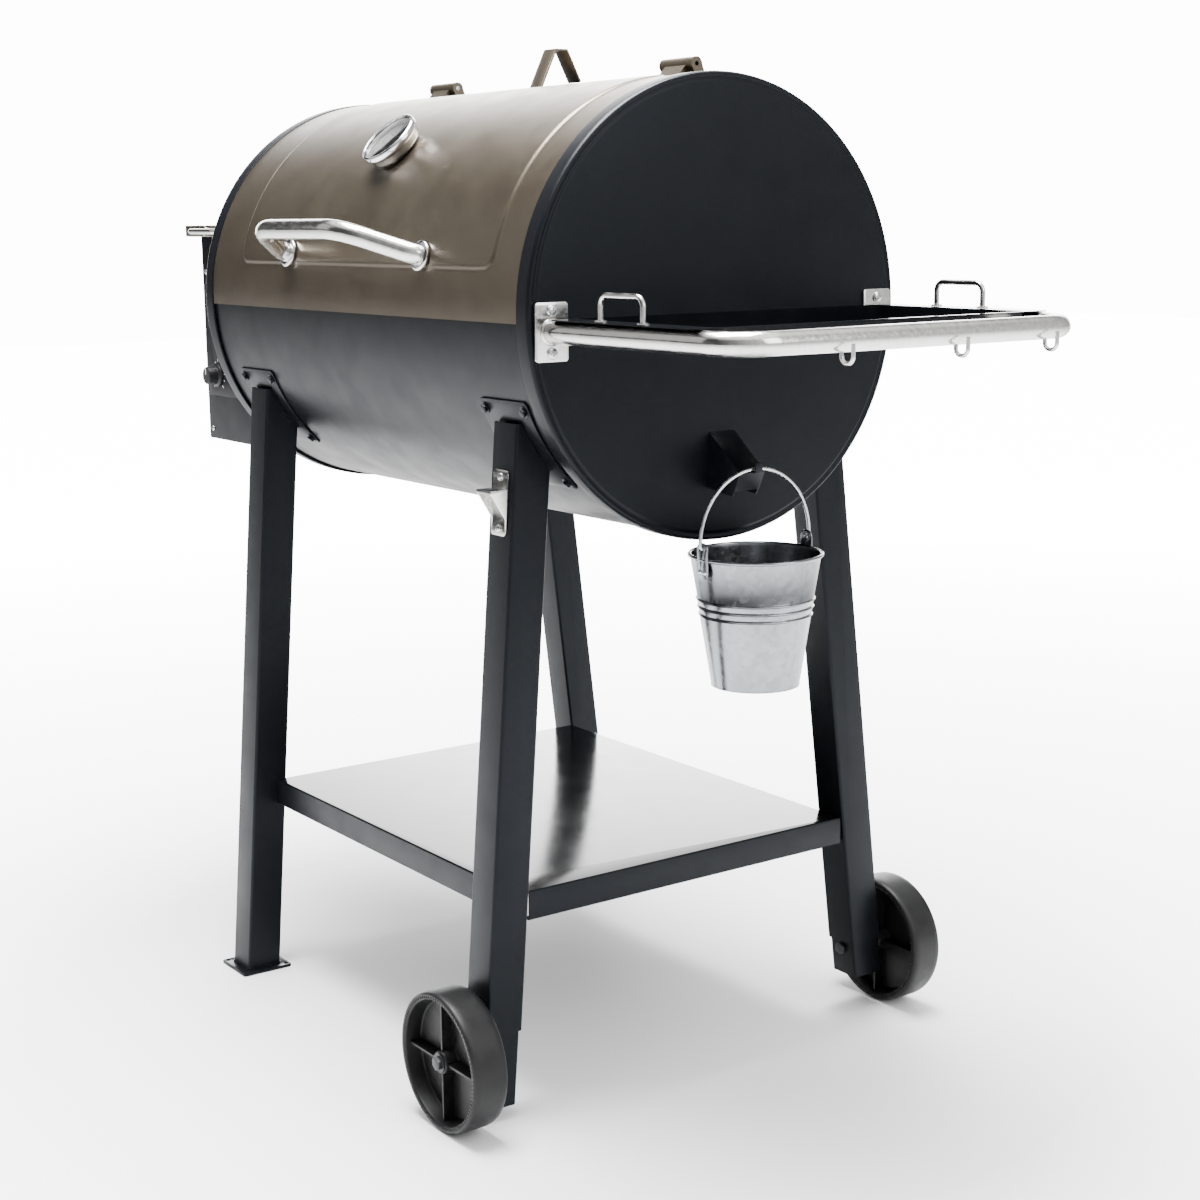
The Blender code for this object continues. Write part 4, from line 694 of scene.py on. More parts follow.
SHELL = 0.256
SKIN = 0.002
OPENING_X = (-0.757, -0.04)
OPENING = (3.0, 97.0)
EXHAUST_SLOT = ((-0.5, 0.2, 0.045), (-0.3, 0.3, 0.07))
SPOUT_SLOT = ((-0.01, -0.0165, -0.176), (0.01, 0.0165, -0.147))
LEDGE_X, LEDGE_Y, LEDGE_Z = (-0.75, -0.045), (0.2365, 0.253), (-0.036, -0.034)
CAP_RIM = 0.024
DUCT_SHEET = 0.0015
TRAY_RESTS = {
    "right": [
        ((-0.03, -0.064, -0.135), (-0.001, -0.06, -0.1155)),
        ((-0.03, 0.06, -0.135), (-0.001, 0.064, -0.1155)),
    ],
    "left": [((-0.7962, -0.031, -0.0815), (-0.77, 0.029, -0.079))],
}


def feed_holes(obj, low, high):
    """Cut the three ways from the hopper into the barrel through an upright wall."""
    cut(obj, rod("x", AUGER, AUGER_HOLE, low, high))
    cut(obj, rod("x", IGNITER, IGNITER_HOLE, low, high, 24))
    cut(obj, block((low, *DUCT_LOW), (high, *DUCT_HIGH)))


def build_shell():
    """The rolled shell with its lid opening, and the ledges that the grates lie on."""
    low, high = at_home("barrel_shell")
    wall = [(SHELL, low.x), (SHELL, high.x), (SHELL - SKIN, high.x), (SHELL - SKIN, low.x)]
    shell = solid("shell", turned(wall, "x", count=192))
    cut(shell, arc_sheet(*OPENING_X, 0.2, 0.3, *OPENING))
    cut(shell, block(*EXHAUST_SLOT))
    piece("barrel_shell_skin", shell, BLACK, "frame", "barrel_shell")
    ledges = bmesh.new()
    for side in (-1, 1):
        near, far = side * LEDGE_Y[0], side * LEDGE_Y[1]
        block((LEDGE_X[0], near, LEDGE_Z[0]), (LEDGE_X[1], far, LEDGE_Z[1]), ledges)
    piece("grate_ledges", ledges, STEEL, "frame", bevel=0.0004)


def build_pan(name, face, inward):
    """A pressed end pan: flat disc, fine bead, rolled rim, and the brackets that hold the grease tray."""
    outline = [
        (0.0, face),
        (RIM - 0.0105, face),
        (RIM - 0.0085, face + inward * 0.0012),
        (RIM - 0.006, face + inward * 0.0012),
        (RIM - 0.004, face),
        (RIM - 0.0015, face + inward * 0.0006),
        (RIM, face + inward * 0.004),
        (RIM, face + inward * CAP_RIM),
        (SHELL + 0.0004, face + inward * CAP_RIM),
        (SHELL + 0.0004, face + inward * SKIN),
        (0.0, face + inward * SKIN),
    ]
    pan = solid("pan", turned(rounded(outline, 0.0022, 5), "x", count=192))
    if name == "right":
        cut(pan, block(*SPOUT_SLOT))
    else:
        feed_holes(pan, face - 0.02, face + 0.02)
    piece(f"{name}_end_pan", pan, BLACK, "frame", f"{name}_end_cap", sharp=40)
    rests = bmesh.new()
    for low, high in TRAY_RESTS[name]:
        block(low, high, rests)
    piece(f"{name}_tray_rest", rests, STEEL, "frame", bevel=0.0004)


def build_exhaust():
    """The open-bottomed hood over the exhaust slot."""
    low, high = at_home("rear_exhaust_duct")
    duct = solid("duct", block(low, high))
    cut(duct, rod("x", (0.0, 0.0), SHELL + 0.0005, low.x - 0.1, high.x + 0.1, 192))
    near = (low.x + DUCT_SHEET, 0.19, low.z - 0.05)
    far = (high.x - DUCT_SHEET, high.y - DUCT_SHEET, high.z - DUCT_SHEET)
    cut(duct, block(near, far))
    piece("exhaust_hood", duct, BLACK, "frame", "rear_exhaust_duct", bevel=0.0008)


build_shell()
build_pan("right", 0.0, -1)
build_pan("left", -LENGTH, 1)
build_exhaust()

# --- lid

LID_OUT = 0.2586
LID_IN = 0.2566
PRESSED_X = (-0.693, -0.074)
PRESSED = (10.5, 88.0)
PRESSED_RISE = 0.0018
PRESSED_CORNER = 0.022
PRESSED_EDGE = 0.006
LID_FRONT, LID_BACK = -1.5, 101.0


def rise_at(x, degrees):
    """How far the pressed field lifts the lid's sheet at a point, with round corners and a soft edge."""
    middle_x, half_x = sum(PRESSED_X) / 2, (PRESSED_X[1] - PRESSED_X[0]) / 2
    along = math.radians(degrees - sum(PRESSED) / 2) * LID_OUT
    half_along = math.radians((PRESSED[1] - PRESSED[0]) / 2) * LID_OUT
    dx = abs(x - middle_x) - (half_x - PRESSED_CORNER)
    da = abs(along) - (half_along - PRESSED_CORNER)
    beyond = math.hypot(max(dx, 0.0), max(da, 0.0)) + min(max(dx, da), 0.0) - PRESSED_CORNER
    t = min(max(-beyond / PRESSED_EDGE, 0.0), 1.0)
    return PRESSED_RISE * t * t * (3 - 2 * t)


def steps_between(low, high, coarse, marks, fine, reach):
    """Values from low to high, closer together around the marks."""
    values = [low]
    while values[-1] < high - 1e-9:
        near = any(abs(values[-1] - mark) < reach for mark in marks)
        values.append(min(values[-1] + (fine if near else coarse), high))
    return values


def build_lid():
    """The lid's sheet with its pressed field, its outer and inner faces closed along the edges."""
    low, high = at_home("lid_panel")
    xs = steps_between(low.x, high.x, 0.012, PRESSED_X, 0.0016, 0.026)
    angles = steps_between(LID_FRONT, LID_BACK, 1.5, PRESSED, 0.35, 6.0)
    bm = bmesh.new()
    outer = [[bm.verts.new(on_barrel(x, LID_OUT + rise_at(x, a), a)) for a in angles] for x in xs]
    inner = [[bm.verts.new(on_barrel(x, LID_IN + rise_at(x, a), a)) for a in angles] for x in xs]
    for grid in (outer, inner):
        for i in range(len(xs) - 1):
            for j in range(len(angles) - 1):
                bm.faces.new((grid[i][j], grid[i + 1][j], grid[i + 1][j + 1], grid[i][j + 1]))
    rim_outer = edge_loop(outer)
    rim_inner = edge_loop(inner)
    for i, vert in enumerate(rim_outer):
        j = (i + 1) % len(rim_outer)
        bm.faces.new((vert, rim_outer[j], rim_inner[j], rim_inner[i]))
    piece("lid_sheet", bm, BRONZE, "lid", "lid_panel", sharp=50)


def edge_loop(grid):
    """The outermost vertices of a grid, in order round its edge."""
    front = [row[0] for row in grid]
    back = [row[-1] for row in grid]
    return front + grid[-1][1:-1] + back[::-1] + grid[0][1:-1][::-1]


build_lid()

LID_SEAT = LID_OUT + PRESSED_RISE + GAP
HANDLE_X = (-0.552, -0.226)
HANDLE_ANGLE = 13.8
HANDLE_TOP = (-0.324, 0.093)


def build_handle():
    """The bowed lid handle with its collars."""
    near = [on_barrel(x, LID_SEAT + 0.001, HANDLE_ANGLE) for x in HANDLE_X]
    stub = [on_barrel(x, LID_SEAT + 0.011, HANDLE_ANGLE) for x in HANDLE_X]
    middle = sum(HANDLE_X) / 2
    bend = [Vector((middle + side * 0.1, *HANDLE_TOP)) for side in (-1, 1)]
    path = [near[0], stub[0], bend[0], bend[1], stub[1], near[1]]
    tube = pipe(fillet(path, (0.022, 0.075, 0.075, 0.022), 18), 0.012, 14)
    piece("lid_handle_bar", tube, STAINLESS, "lid", "lid_handle", sharp=60)
    collars = bmesh.new()
    section = [(0.0121, 0.0008), (0.0172, 0.0008), (0.0178, 0.004), (0.015, 0.0058), (0.0121, 0.0058)]
    outward = on_barrel(0.0, 1.0, HANDLE_ANGLE)
    for x in HANDLE_X:
        ring = turned(rounded(section, 0.001), count=64)
        gather(collars, moved(ring, stand_on(on_barrel(x, LID_SEAT, HANDLE_ANGLE), outward)))
    piece("lid_handle_collars", collars, CHROME, "lid")


build_handle()


def build_stop():
    """The bent strap on the lid's back edge that limits how far it opens."""
    low, high = at_home("lid_stop_bracket")
    path = [(0.003, 0.2606), (0.019, 0.26), (0.043, 0.3095), (0.06, 0.3095), (0.08, 0.271)]
    shape = prism(strap(path, 0.003), "x", low.x, high.x)
    piece("stop_strap", shape, BRONZE, "lid", "lid_stop_bracket", bevel=0.0007)


build_stop()

HINGE = (0.06, 0.277)
HINGE_X = {"left": -0.68, "right": -0.152}
HINGE_HALF = 0.031
KNUCKLE_HALF = 0.0195
HINGE_SHEET = 0.0028
BARREL_OF_HINGE = 0.008
LEAF_SCREWS = 113.5


def build_hinges():
    """The lid's two hinges: a knuckle on the lid between two ears on the shell."""
    for side, middle in HINGE_X.items():
        knuckle_x = (middle - KNUCKLE_HALF, middle + KNUCKLE_HALF)
        knuckle = solid("knuckle", arc_sheet(*knuckle_x, LID_OUT + GAP, LID_OUT + HINGE_SHEET, 91, 100.5))
        neck = [(0.036, 0.258), (0.047, 0.256), (0.06, 0.27), (0.0535, 0.277)]
        join(knuckle, prism(neck, "x", *knuckle_x))
        join(knuckle, rod("x", HINGE, BARREL_OF_HINGE, *knuckle_x))
        cut(knuckle, rod("x", HINGE, 0.0043, middle - 0.04, middle + 0.04))
        piece(f"{side}_knuckle", knuckle, BRONZE, "lid", f"{side}_hinge_knuckle")

        leaf_x = (middle - HINGE_HALF, middle + HINGE_HALF)
        leaf = solid("leaf", arc_sheet(*leaf_x, SHELL + GAP, SHELL + HINGE_SHEET, 104, 117))
        for end in (-1, 1):
            ear_x = (middle + end * (KNUCKLE_HALF + GAP), middle + end * HINGE_HALF)
            web = [(0.064, 0.2495), (0.08, 0.2455), (0.068, 0.277), (0.052, 0.277)]
            join(leaf, prism(web, "x", *ear_x))
            join(leaf, rod("x", HINGE, BARREL_OF_HINGE, *ear_x))
        piece(f"{side}_leaf", leaf, BRONZE, "frame", f"{side}_hinge_leaf")
        pin = [(0.0, leaf_x[0]), (0.004, leaf_x[0]), (0.004, leaf_x[1]), (0.0, leaf_x[1])]
        pin = turned(rounded(pin, 0.0012), "x", HINGE, 32)
        piece(f"{side}_hinge_pin", pin, ZINC, "frame")
        screws = bmesh.new()
        for dx in (-0.021, 0.021):
            seat = on_barrel(middle + dx, SHELL + HINGE_SHEET, LEAF_SCREWS)
            add_screw(screws, 0.0042, 0.0022, seat, on_barrel(0.0, 1.0, LEAF_SCREWS))
        piece(f"{side}_hinge_screws", screws, ZINC, "frame")


build_hinges()

# --- dial thermometer

GAUGE_X = -0.392
GAUGE_ANGLE = 45.2
GAUGE_TILT = Matrix.Rotation(math.radians(90.0 - GAUGE_ANGLE), 4, "X")
GAUGE_PLACE = Matrix.Translation(on_barrel(GAUGE_X, LID_SEAT, GAUGE_ANGLE)) @ GAUGE_TILT
DIAL_RADIUS = 0.0343
DIAL_BACK, DIAL_FACE, INK_FACE = 0.0083, 0.0095, 0.00965
MARKS, SWEEP_FROM, SWEEP_STEP = 51, 135.0, 5.4


def dial_mark(bm, turn, inner, width):
    """A short radial mark on the dial."""
    mark = block((-width / 2, inner, DIAL_FACE), (width / 2, 0.029, INK_FACE))
    gather(bm, moved(mark, Matrix.Rotation(turn, 4, "Z")))


def build_gauge():
    """The thermometer: stem, chrome case, marked dial, needle and glass."""
    case = [
        (0.0, 0.0),
        (0.03, 0.0),
        (0.0345, 0.0045),
        (0.0355, 0.013),
        (0.0385, 0.014),
        (0.039, 0.0175),
        (0.0385, 0.0215),
        (0.0365, 0.0228),
        (0.035, 0.0225),
        (0.0347, 0.02),
        (0.0347, 0.008),
        (0.0, 0.008),
    ]
    housing = turned(rounded(case, 0.0014, 4), count=96)
    gather(housing, rod("z", (0.0, 0.0), 0.003, -0.06, 0.002, 24))
    gather(housing, rod("z", (0.0, 0.0), 0.006, -0.012, 0.002, 6))
    piece("gauge_case", moved(housing, GAUGE_PLACE), CHROME, "lid", "gauge_housing", sharp=40)
    dial = [(0.0, DIAL_BACK), (DIAL_RADIUS, DIAL_BACK), (DIAL_RADIUS, DIAL_FACE), (0.0, DIAL_FACE)]
    piece("gauge_face", moved(turned(dial, count=96), GAUGE_PLACE), DIAL, "lid", "gauge_dial")
    marks = bmesh.new()
    for i in range(MARKS):
        turn = math.radians(SWEEP_FROM - SWEEP_STEP * i)
        if i % 5 == 0:
            dial_mark(marks, turn, 0.0245, 0.0007)
        else:
            dial_mark(marks, turn, 0.0268, 0.0004)
    piece("gauge_marks", moved(marks, GAUGE_PLACE), INK, "lid")
    turns = [math.radians(30.0 - 3.0 * i) for i in range(19)]
    arc = [(0.032 * math.cos(a), 0.032 * math.sin(a)) for a in turns]
    arc += [(0.03 * math.cos(a), 0.03 * math.sin(a)) for a in reversed(turns)]
    zone = prism(arc, "z", DIAL_FACE, INK_FACE)
    piece("gauge_hot_zone", moved(zone, GAUGE_PLACE), ZONE, "lid")
    half = [(0.0013, -0.008), (0.0011, 0.015), (0.0002, 0.0268)]
    tail, sides = (-half[0][0], half[0][1]), [(-u, v) for u, v in half[:0:-1]]
    needle = prism([tail, *half, *sides], "z", 0.012, 0.0127)
    hub = rounded([(0.0, 0.0098), (0.0029, 0.0098), (0.0029, 0.0137), (0.0, 0.0137)], 0.0006)
    gather(needle, turned(hub, count=32))
    piece("gauge_pointer", moved(needle, GAUGE_PLACE), INK, "needle", "gauge_needle")
    glass = [(0.0, 0.018), (DIAL_RADIUS, 0.018), (DIAL_RADIUS, 0.0195), (0.0, 0.0199)]
    glass = turned(rounded(glass, 0.0004), count=96)
    piece("gauge_window", moved(glass, GAUGE_PLACE), GLASS, "lid", "gauge_glass")


build_gauge()

# --- pellet hopper


BOX = (-1.0, -0.17, -0.7985, 0.17)
BOX_Z = (-0.213, 0.094)
BOX_SHEET = 0.002
KNOB, KNOB_HOLE = (-0.953, -0.118), 0.0035
BUTTON, BUTTON_HOLE = (-0.878, -0.125), 0.0065
INLET = (-0.946, -0.197, -0.914, -0.169)
VENT_X, VENT_TOP, VENT_PITCH = (-0.905, -0.835), -0.1, 0.018
HINGE_PIN = (0.1785, 0.0935)
HINGE_X_ENDS = (-0.992, -0.81)
COVER_FRONT = -0.188
COVER_Z = (0.0803, 0.0963)
COVER_KNUCKLE = (-0.98, -0.822)
KNUCKLE = 0.005


def build_hopper():
    """The folded sheet hopper with its vents and its half of the hinge."""
    box = solid("box", prism(rounded_rect(*BOX, 0.003), "z", *BOX_Z))
    soften(box, 0.0012, 3, 60.0)
    hollow = rounded_rect(*inset(BOX, BOX_SHEET), 0.0015)
    cut(box, prism(hollow, "z", BOX_Z[0] + BOX_SHEET, BOX_Z[1] + 0.05))
    feed_holes(box, -0.803, -0.79)
    cut(box, rod("y", KNOB, KNOB_HOLE, -0.18, -0.16, 24))
    cut(box, rod("y", BUTTON, BUTTON_HOLE, -0.18, -0.16, 24))
    cut(box, block((INLET[0], 0.16, INLET[1]), (INLET[2], 0.18, INLET[3])))
    for i in range(4):
        z = VENT_TOP - VENT_PITCH * i
        vent = rounded_rect(VENT_X[0], z - 0.004, VENT_X[1], z + 0.004, 0.0039)
        cut(box, prism(vent, "y", 0.16, 0.18))
    piece("hopper_walls", box, BLACK, "frame", "hopper_box")

    leaf = bmesh.new()
    low, high = HINGE_X_ENDS
    block((low, BOX[3] + 0.0002, 0.05), (high, BOX[3] + 0.002, 0.086), leaf)
    web = [(0.1706, 0.07), (0.172, 0.07), (0.1825, 0.093), (0.1745, 0.093)]
    for ends in ((low, COVER_KNUCKLE[0] - GAP), (COVER_KNUCKLE[1] + GAP, high)):
        prism(web, "x", *ends, leaf)
        rod("x", HINGE_PIN, KNUCKLE, *ends, 32, leaf)
    rod("x", HINGE_PIN, 0.0025, low, high, 24, leaf)
    piece("hopper_hinge", leaf, BLACK, "frame")


def add_hopper_screws():
    """The screws of the hopper's hinge, end and side seams."""
    screws = bmesh.new()
    places = [((x, BOX[3] + 0.002, 0.06), (0, 1, 0)) for x in (-0.975, -0.901, -0.827)]
    places += [((BOX[0], y, z), (-1, 0, 0)) for y in (-0.15, 0.0, 0.15) for z in (-0.198, 0.06)]
    for y, facing in ((BOX[1], -1), (BOX[3], 1)):
        places += [((x, y, z), (0, facing, 0)) for x in (-0.985, -0.815) for z in (-0.198, 0.03)]
    for point, normal in places:
        add_screw(screws, 0.004, 0.0022, point, normal)
    piece("hopper_screws", screws, ZINC, "frame")


def build_cover():
    """The hopper's lid: a folded cover with its knuckle, and the wire handle on its front skirt."""
    top = COVER_Z[1] - BOX_SHEET
    lid = solid("lid", block((-1.012, COVER_FRONT, COVER_Z[0]), (BOX[2] - GAP, 0.1735, COVER_Z[1])))
    soften(lid, 0.0016, 4)
    cut(lid, block((-1.01, COVER_FRONT + BOX_SHEET, 0.05), (-0.78, 0.2, top)))
    join(lid, block((COVER_KNUCKLE[0], 0.168, top), (COVER_KNUCKLE[1], 0.179, COVER_Z[1] - GAP)))
    join(lid, rod("x", HINGE_PIN, KNUCKLE, *COVER_KNUCKLE, 32))
    cut(lid, rod("x", HINGE_PIN, 0.0028, -1.02, -0.78, 24))
    piece("hopper_cover_sheet", lid, BRONZE, "hopper_cover", "hopper_lid")

    middle, grip_z = (BOX[0] + BOX[2]) / 2, sum(COVER_Z) / 2
    root, reach = COVER_FRONT - GAP, COVER_FRONT - 0.026
    corners = ((-0.045, root), (-0.045, reach), (0.045, reach), (0.045, root))
    path = [(middle + dx, y, grip_z) for dx, y in corners]
    grip = pipe(fillet(path, (0.012, 0.012), 12), 0.004, 10)
    for dx in (-0.045, 0.045):
        collar = turned([(0.0041, 0.0), (0.0068, 0.0), (0.0068, 0.0012), (0.0041, 0.0016)], count=32)
        gather(grip, moved(collar, stand_on((middle + dx, root, grip_z), (0, -1, 0))))
    piece("hopper_grip", grip, STAINLESS, "hopper_cover", "hopper_lid_handle", sharp=50)


build_hopper()
add_hopper_screws()
build_cover()

PANEL = -0.1733
PANEL_FACE = PANEL - GAP
PAINT = (PANEL - 0.0002, PANEL + 0.0001)


def build_panel():
    """The control panel's plate with its painted marks, and the display window."""
    plate = solid("plate", prism(rounded_rect(-0.991, -0.148, -0.812, -0.052, 0.006), "y", PANEL, -0.1703))
    cut(plate, rod("y", KNOB, KNOB_HOLE, -0.18, -0.165, 24))
    cut(plate, rod("y", BUTTON, BUTTON_HOLE, -0.18, -0.165, 24))
    piece("panel_plate", plate, PANEL_PAINT, "frame", "control_panel", bevel=0.0008)
    marks = bmesh.new()
    for i in range(11):
        tip = 0.0235 if i % 5 == 0 else 0.0215
        mark = block((-0.0004, PAINT[0], 0.019), (0.0004, PAINT[1], tip))
        gather(marks, moved(mark, spun(KNOB, -140 + 28 * i)))
    ring = [(0.0085, PAINT[0]), (0.0092, PAINT[0]), (0.0092, PAINT[1]), (0.0085, PAINT[1])]
    gather(marks, turned(ring, "y", BUTTON, 48))
    piece("panel_marks", marks, DIAL, "frame")
    window = prism(rounded_rect(-0.929, -0.094, -0.871, -0.066, 0.003), "y", PANEL - 0.003, PANEL_FACE)
    piece("display_glass", window, SCREEN, "frame", "control_display", bevel=0.0008)


def build_knob():
    """The fluted temperature knob with its pointer, and the start button."""
    profile = [
        (0.0, PANEL_FACE),
        (0.017, PANEL_FACE),
        (0.017, PANEL - 0.004),
        (0.0138, PANEL - 0.006),
        (0.0125, PANEL - 0.019),
        (0.0112, PANEL - 0.02),
        (0.0, PANEL - 0.02),
    ]
    knob = solid("knob", turned(rounded(profile, 0.001, 3), "y", KNOB, 96))
    for i in range(18):
        flute = rod("y", (0.0, 0.0143), 0.0012, PANEL - 0.03, PANEL - 0.007, 12)
        cut(knob, moved(flute, spun(KNOB, 10 + 20 * i)))
    piece("dial_knob", knob, PANEL_PAINT, "knob", "temperature_knob", sharp=30)
    near = (KNOB[0] - 0.0007, PANEL - 0.0206, KNOB[1] + 0.002)
    far = (KNOB[0] + 0.0007, PANEL - 0.0199, KNOB[1] + 0.0105)
    piece("dial_pointer", block(near, far), DIAL, "knob", bevel=0.0002)
    push = [
        (0.0, PANEL + 0.0015),
        (0.006, PANEL + 0.0015),
        (0.006, PANEL - 0.0035),
        (0.005, PANEL - 0.0045),
        (0.0, PANEL - 0.0045),
    ]
    piece("start_button", turned(rounded(push, 0.0009), "y", BUTTON, 64), RED, "button", "power_button")


def build_inlet():
    """The power inlet on the hopper's back: flange, recessed socket, three pins and two screws."""
    back = BOX[3]
    flange = rounded_rect(*inset(INLET, -0.008, -0.003), 0.005)
    inlet = solid("inlet", prism(flange, "y", back + GAP, back + 0.0033))
    join(inlet, prism(rounded_rect(*inset(INLET, GAP), 0.002), "y", back - 0.018, back + 0.002))
    cut(inlet, prism(rounded_rect(*inset(INLET, 0.004), 0.004), "y", back - 0.014, back + 0.01))
    piece("inlet_body", inlet, PANEL_PAINT, "frame", "power_inlet", bevel=0.0004)
    pins = bmesh.new()
    middle = (INLET[0] + INLET[2]) / 2
    for dx, z in ((-0.007, -0.185), (0.007, -0.185), (0.0, -0.18)):
        x = middle + dx
        block((x - 0.001, back - 0.0143, z - 0.003), (x + 0.001, back - 0.001, z + 0.003), pins)
    for dx in (-0.0205, 0.0205):
        add_screw(pins, 0.0026, 0.0012, (middle + dx, back + 0.0033, -0.183), (0, 1, 0))
    piece("inlet_pins", pins, ZINC, "frame")


build_panel()
build_knob()
build_inlet()

# --- pellet feed, blower and fire


def build_auger():
    """The auger's tube with its feed opening, and the screw that turns in it."""
    wall = [(0.026, -0.94), (0.026, -0.4805), (0.024, -0.4805), (0.024, -0.94)]
    tube = solid("tube", turned(wall, "x", AUGER, 96))
    cut(tube, block((-0.921, -0.017, AUGER[1] + 0.005), (-0.839, 0.017, -0.14)))
    piece("feed_tube", tube, STEEL, "frame", "auger_tube", bevel=0.0003)

    start, end, pitch = -0.936, -0.492, 0.058
    turns = (end - start) / pitch
    steps = round(turns * 40)
    rings = []
    flight = bmesh.new()
    for i in range(steps + 1):
        x = start + (end - start) * i / steps
        turn = 2 * math.pi * turns * i / steps
        across = Vector((0.0, math.cos(turn), math.sin(turn)))
        row = []
        for radius, half in ((0.0055, 0.0016), (0.0215, 0.0009)):
            for side in (-1, 1):
                row.append(flight.verts.new(Vector((x + side * half, *AUGER)) + across * radius))
        rings.append((row[0], row[1], row[3], row[2]))
    for near, far in zip(rings, rings[1:]):
        for k in range(4):
            flight.faces.new((near[k], near[(k + 1) % 4], far[(k + 1) % 4], far[k]))
    flight.faces.new(rings[0])
    flight.faces.new(rings[-1][::-1])
    rod("x", AUGER, 0.006, start, end, 32, flight)
    rod("x", AUGER, 0.005, -0.964, start, 32, flight)
    piece("feed_screw", flight, STEEL, "auger", "auger_screw", sharp=50)

    motor = solid("motor", block((-0.99, -0.028, -0.209), (-0.944, 0.028, -0.151)))
    join(motor, rod("y", (-0.967, -0.182), 0.018, 0.02, 0.064, 64))
    cut(motor, rod("x", AUGER, 0.0054, -0.966, -0.93, 32))
    piece("gear_motor", motor, CAST, "frame", "auger_motor", bevel=0.0012, segments=3)


def build_fire():
    """The fire pot with its air holes, the igniter, the baffle over them, and the plain CAD sheets."""
    profile = [
        (0.0, -0.2525),
        (0.018, -0.2525),
        (0.018, -0.236),
        (0.05, -0.236),
        (0.05, -0.15),
        (0.047, -0.15),
        (0.047, -0.233),
        (0.0, -0.233),
    ]
    pot = solid("pot", turned(rounded(profile, 0.0014, 3), "z", (-0.43, 0.0), 96))
    cut(pot, rod("x", AUGER, 0.0235, -0.5, -0.43, 64))
    cut(pot, rod("x", IGNITER, IGNITER_HOLE, -0.5, -0.43, 24))
    for x in (-0.45, -0.43, -0.41):
        cut(pot, rod("y", (x, -0.205), 0.0035, -0.06, 0.06, 24))
    piece("burn_pot", pot, STEEL, "frame", "fire_pot", sharp=40)

    tail, thick, thin = -0.85, 0.0085, 0.0048
    hot = [(0.0, tail), (thick, tail), (thick, -0.835), (thin, -0.835), (thin, -0.474), (0.0, -0.474)]
    piece("hot_rod", turned(rounded(hot, 0.0008, 3), "x", IGNITER, 48), STEEL, "frame", "igniter_rod")

    low, high = at_home("heat_baffle")
    sheet = 0.0015
    outside = [(low.y, low.z), (low.y + sheet, low.z), (low.y + sheet, high.z - sheet)]
    section = outside + [(-y, z) for y, z in reversed(outside)] + [(-low.y, high.z), (low.y, high.z)]
    piece("heat_shield", prism(section, "x", -0.53, -0.33), STEEL, "frame", "heat_baffle", bevel=0.0006)

    for node in ("hopper_chute", "grease_tray"):
        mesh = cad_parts[node].data
        mesh.materials.clear()
        mesh.materials.append(STEEL)


def duct_block(low, high, by):
    """A bar along the blower's duct, narrower than the duct's opening by the same amount all round."""
    return block((low, DUCT_LOW[0] + by, DUCT_LOW[1] + by), (high, DUCT_HIGH[0] - by, DUCT_HIGH[1] - by))


def build_blower():
    """The blower's scroll housing with its motor and duct, and its wheel of tilted blades."""
    fan = (0.11, -0.155)
    scroll = solid("scroll", rod("x", fan, 0.045, -0.905, -0.86, 96))
    join(scroll, duct_block(-0.864, -0.79, GAP))
    join(scroll, rod("x", (0.116, -0.155), 0.016, -0.861, -0.834, 48))
    cut(scroll, rod("x", fan, 0.0435, -0.9035, -0.8615, 96))
    cut(scroll, duct_block(-0.866, -0.78, 0.0018))
    cut(scroll, rod("x", fan, 0.022, -0.915, -0.895, 64))
    piece("blower_scroll", scroll, CAST, "frame", "fan_housing", bevel=0.0005)

    wheel = rod("x", fan, 0.036, -0.8675, -0.8655, 64)
    rod("x", fan, 0.01, -0.897, -0.8625, 48, wheel)
    for i in range(24):
        blade = block((-0.895, -0.0005, 0.024), (-0.866, 0.0005, 0.0355))
        turn = Matrix.Rotation(math.radians(15 * i), 4, "X") @ Matrix.Translation((0.0, 0.0, 0.03))
        tilt = Matrix.Rotation(math.radians(28), 4, "X") @ Matrix.Translation((0.0, 0.0, -0.03))
        gather(wheel, moved(moved(blade, turn @ tilt), Matrix.Translation((0.0, *fan))))
    piece("blower_wheel", wheel, PANEL_PAINT, "fan", "fan_wheel")


build_auger()
build_fire()
build_blower()

GRATE_Z = (-0.0337, -0.0277)
GRATES = {"left": (-0.7455, -0.4005), "right": (-0.3975, -0.0525)}


def build_grates():
    """Two enamelled grates: rounded bars in a rounded rim, with a bar across the middle."""
    half, count = 0.247, 13
    for side, (low, high) in GRATES.items():
        plate = solid("plate", prism(rounded_rect(low, -half, high, half, 0.004), "z", *GRATE_Z))
        slots = bmesh.new()
        pitch = (high - low - 0.012) / count
        for i in range(count):
            near = low + 0.009 + pitch * i
            for a, b in ((-half + 0.01, -0.004), (0.004, half - 0.01)):
                prism(rounded_rect(near, a, near + pitch - 0.006, b, 0.004, 4), "z", -0.1, 0.1, slots)
        cut(plate, slots)
        name = f"{side}_grate"
        piece(name, plate, IRON, name, f"{side}_cooking_grate", bevel=0.0016, segments=3)


build_grates()

# --- legs, saddles and feet

LEG = 0.048
LEG_WALL = 0.002
LEG_X = {"left": -0.69, "right": -0.084}
LEG_TOP = -0.117
LEG_TOP_Y = {"front": -0.213, "rear": 0.207}
LEG_SLOPE = {"front": -0.0806, "rear": 0.115}
SADDLE = SHELL + 0.0024


def leg_y(row, z):
    """The middle of a leg at a height."""
    return LEG_TOP_Y[row] + LEG_SLOPE[row] * (LEG_TOP - z)


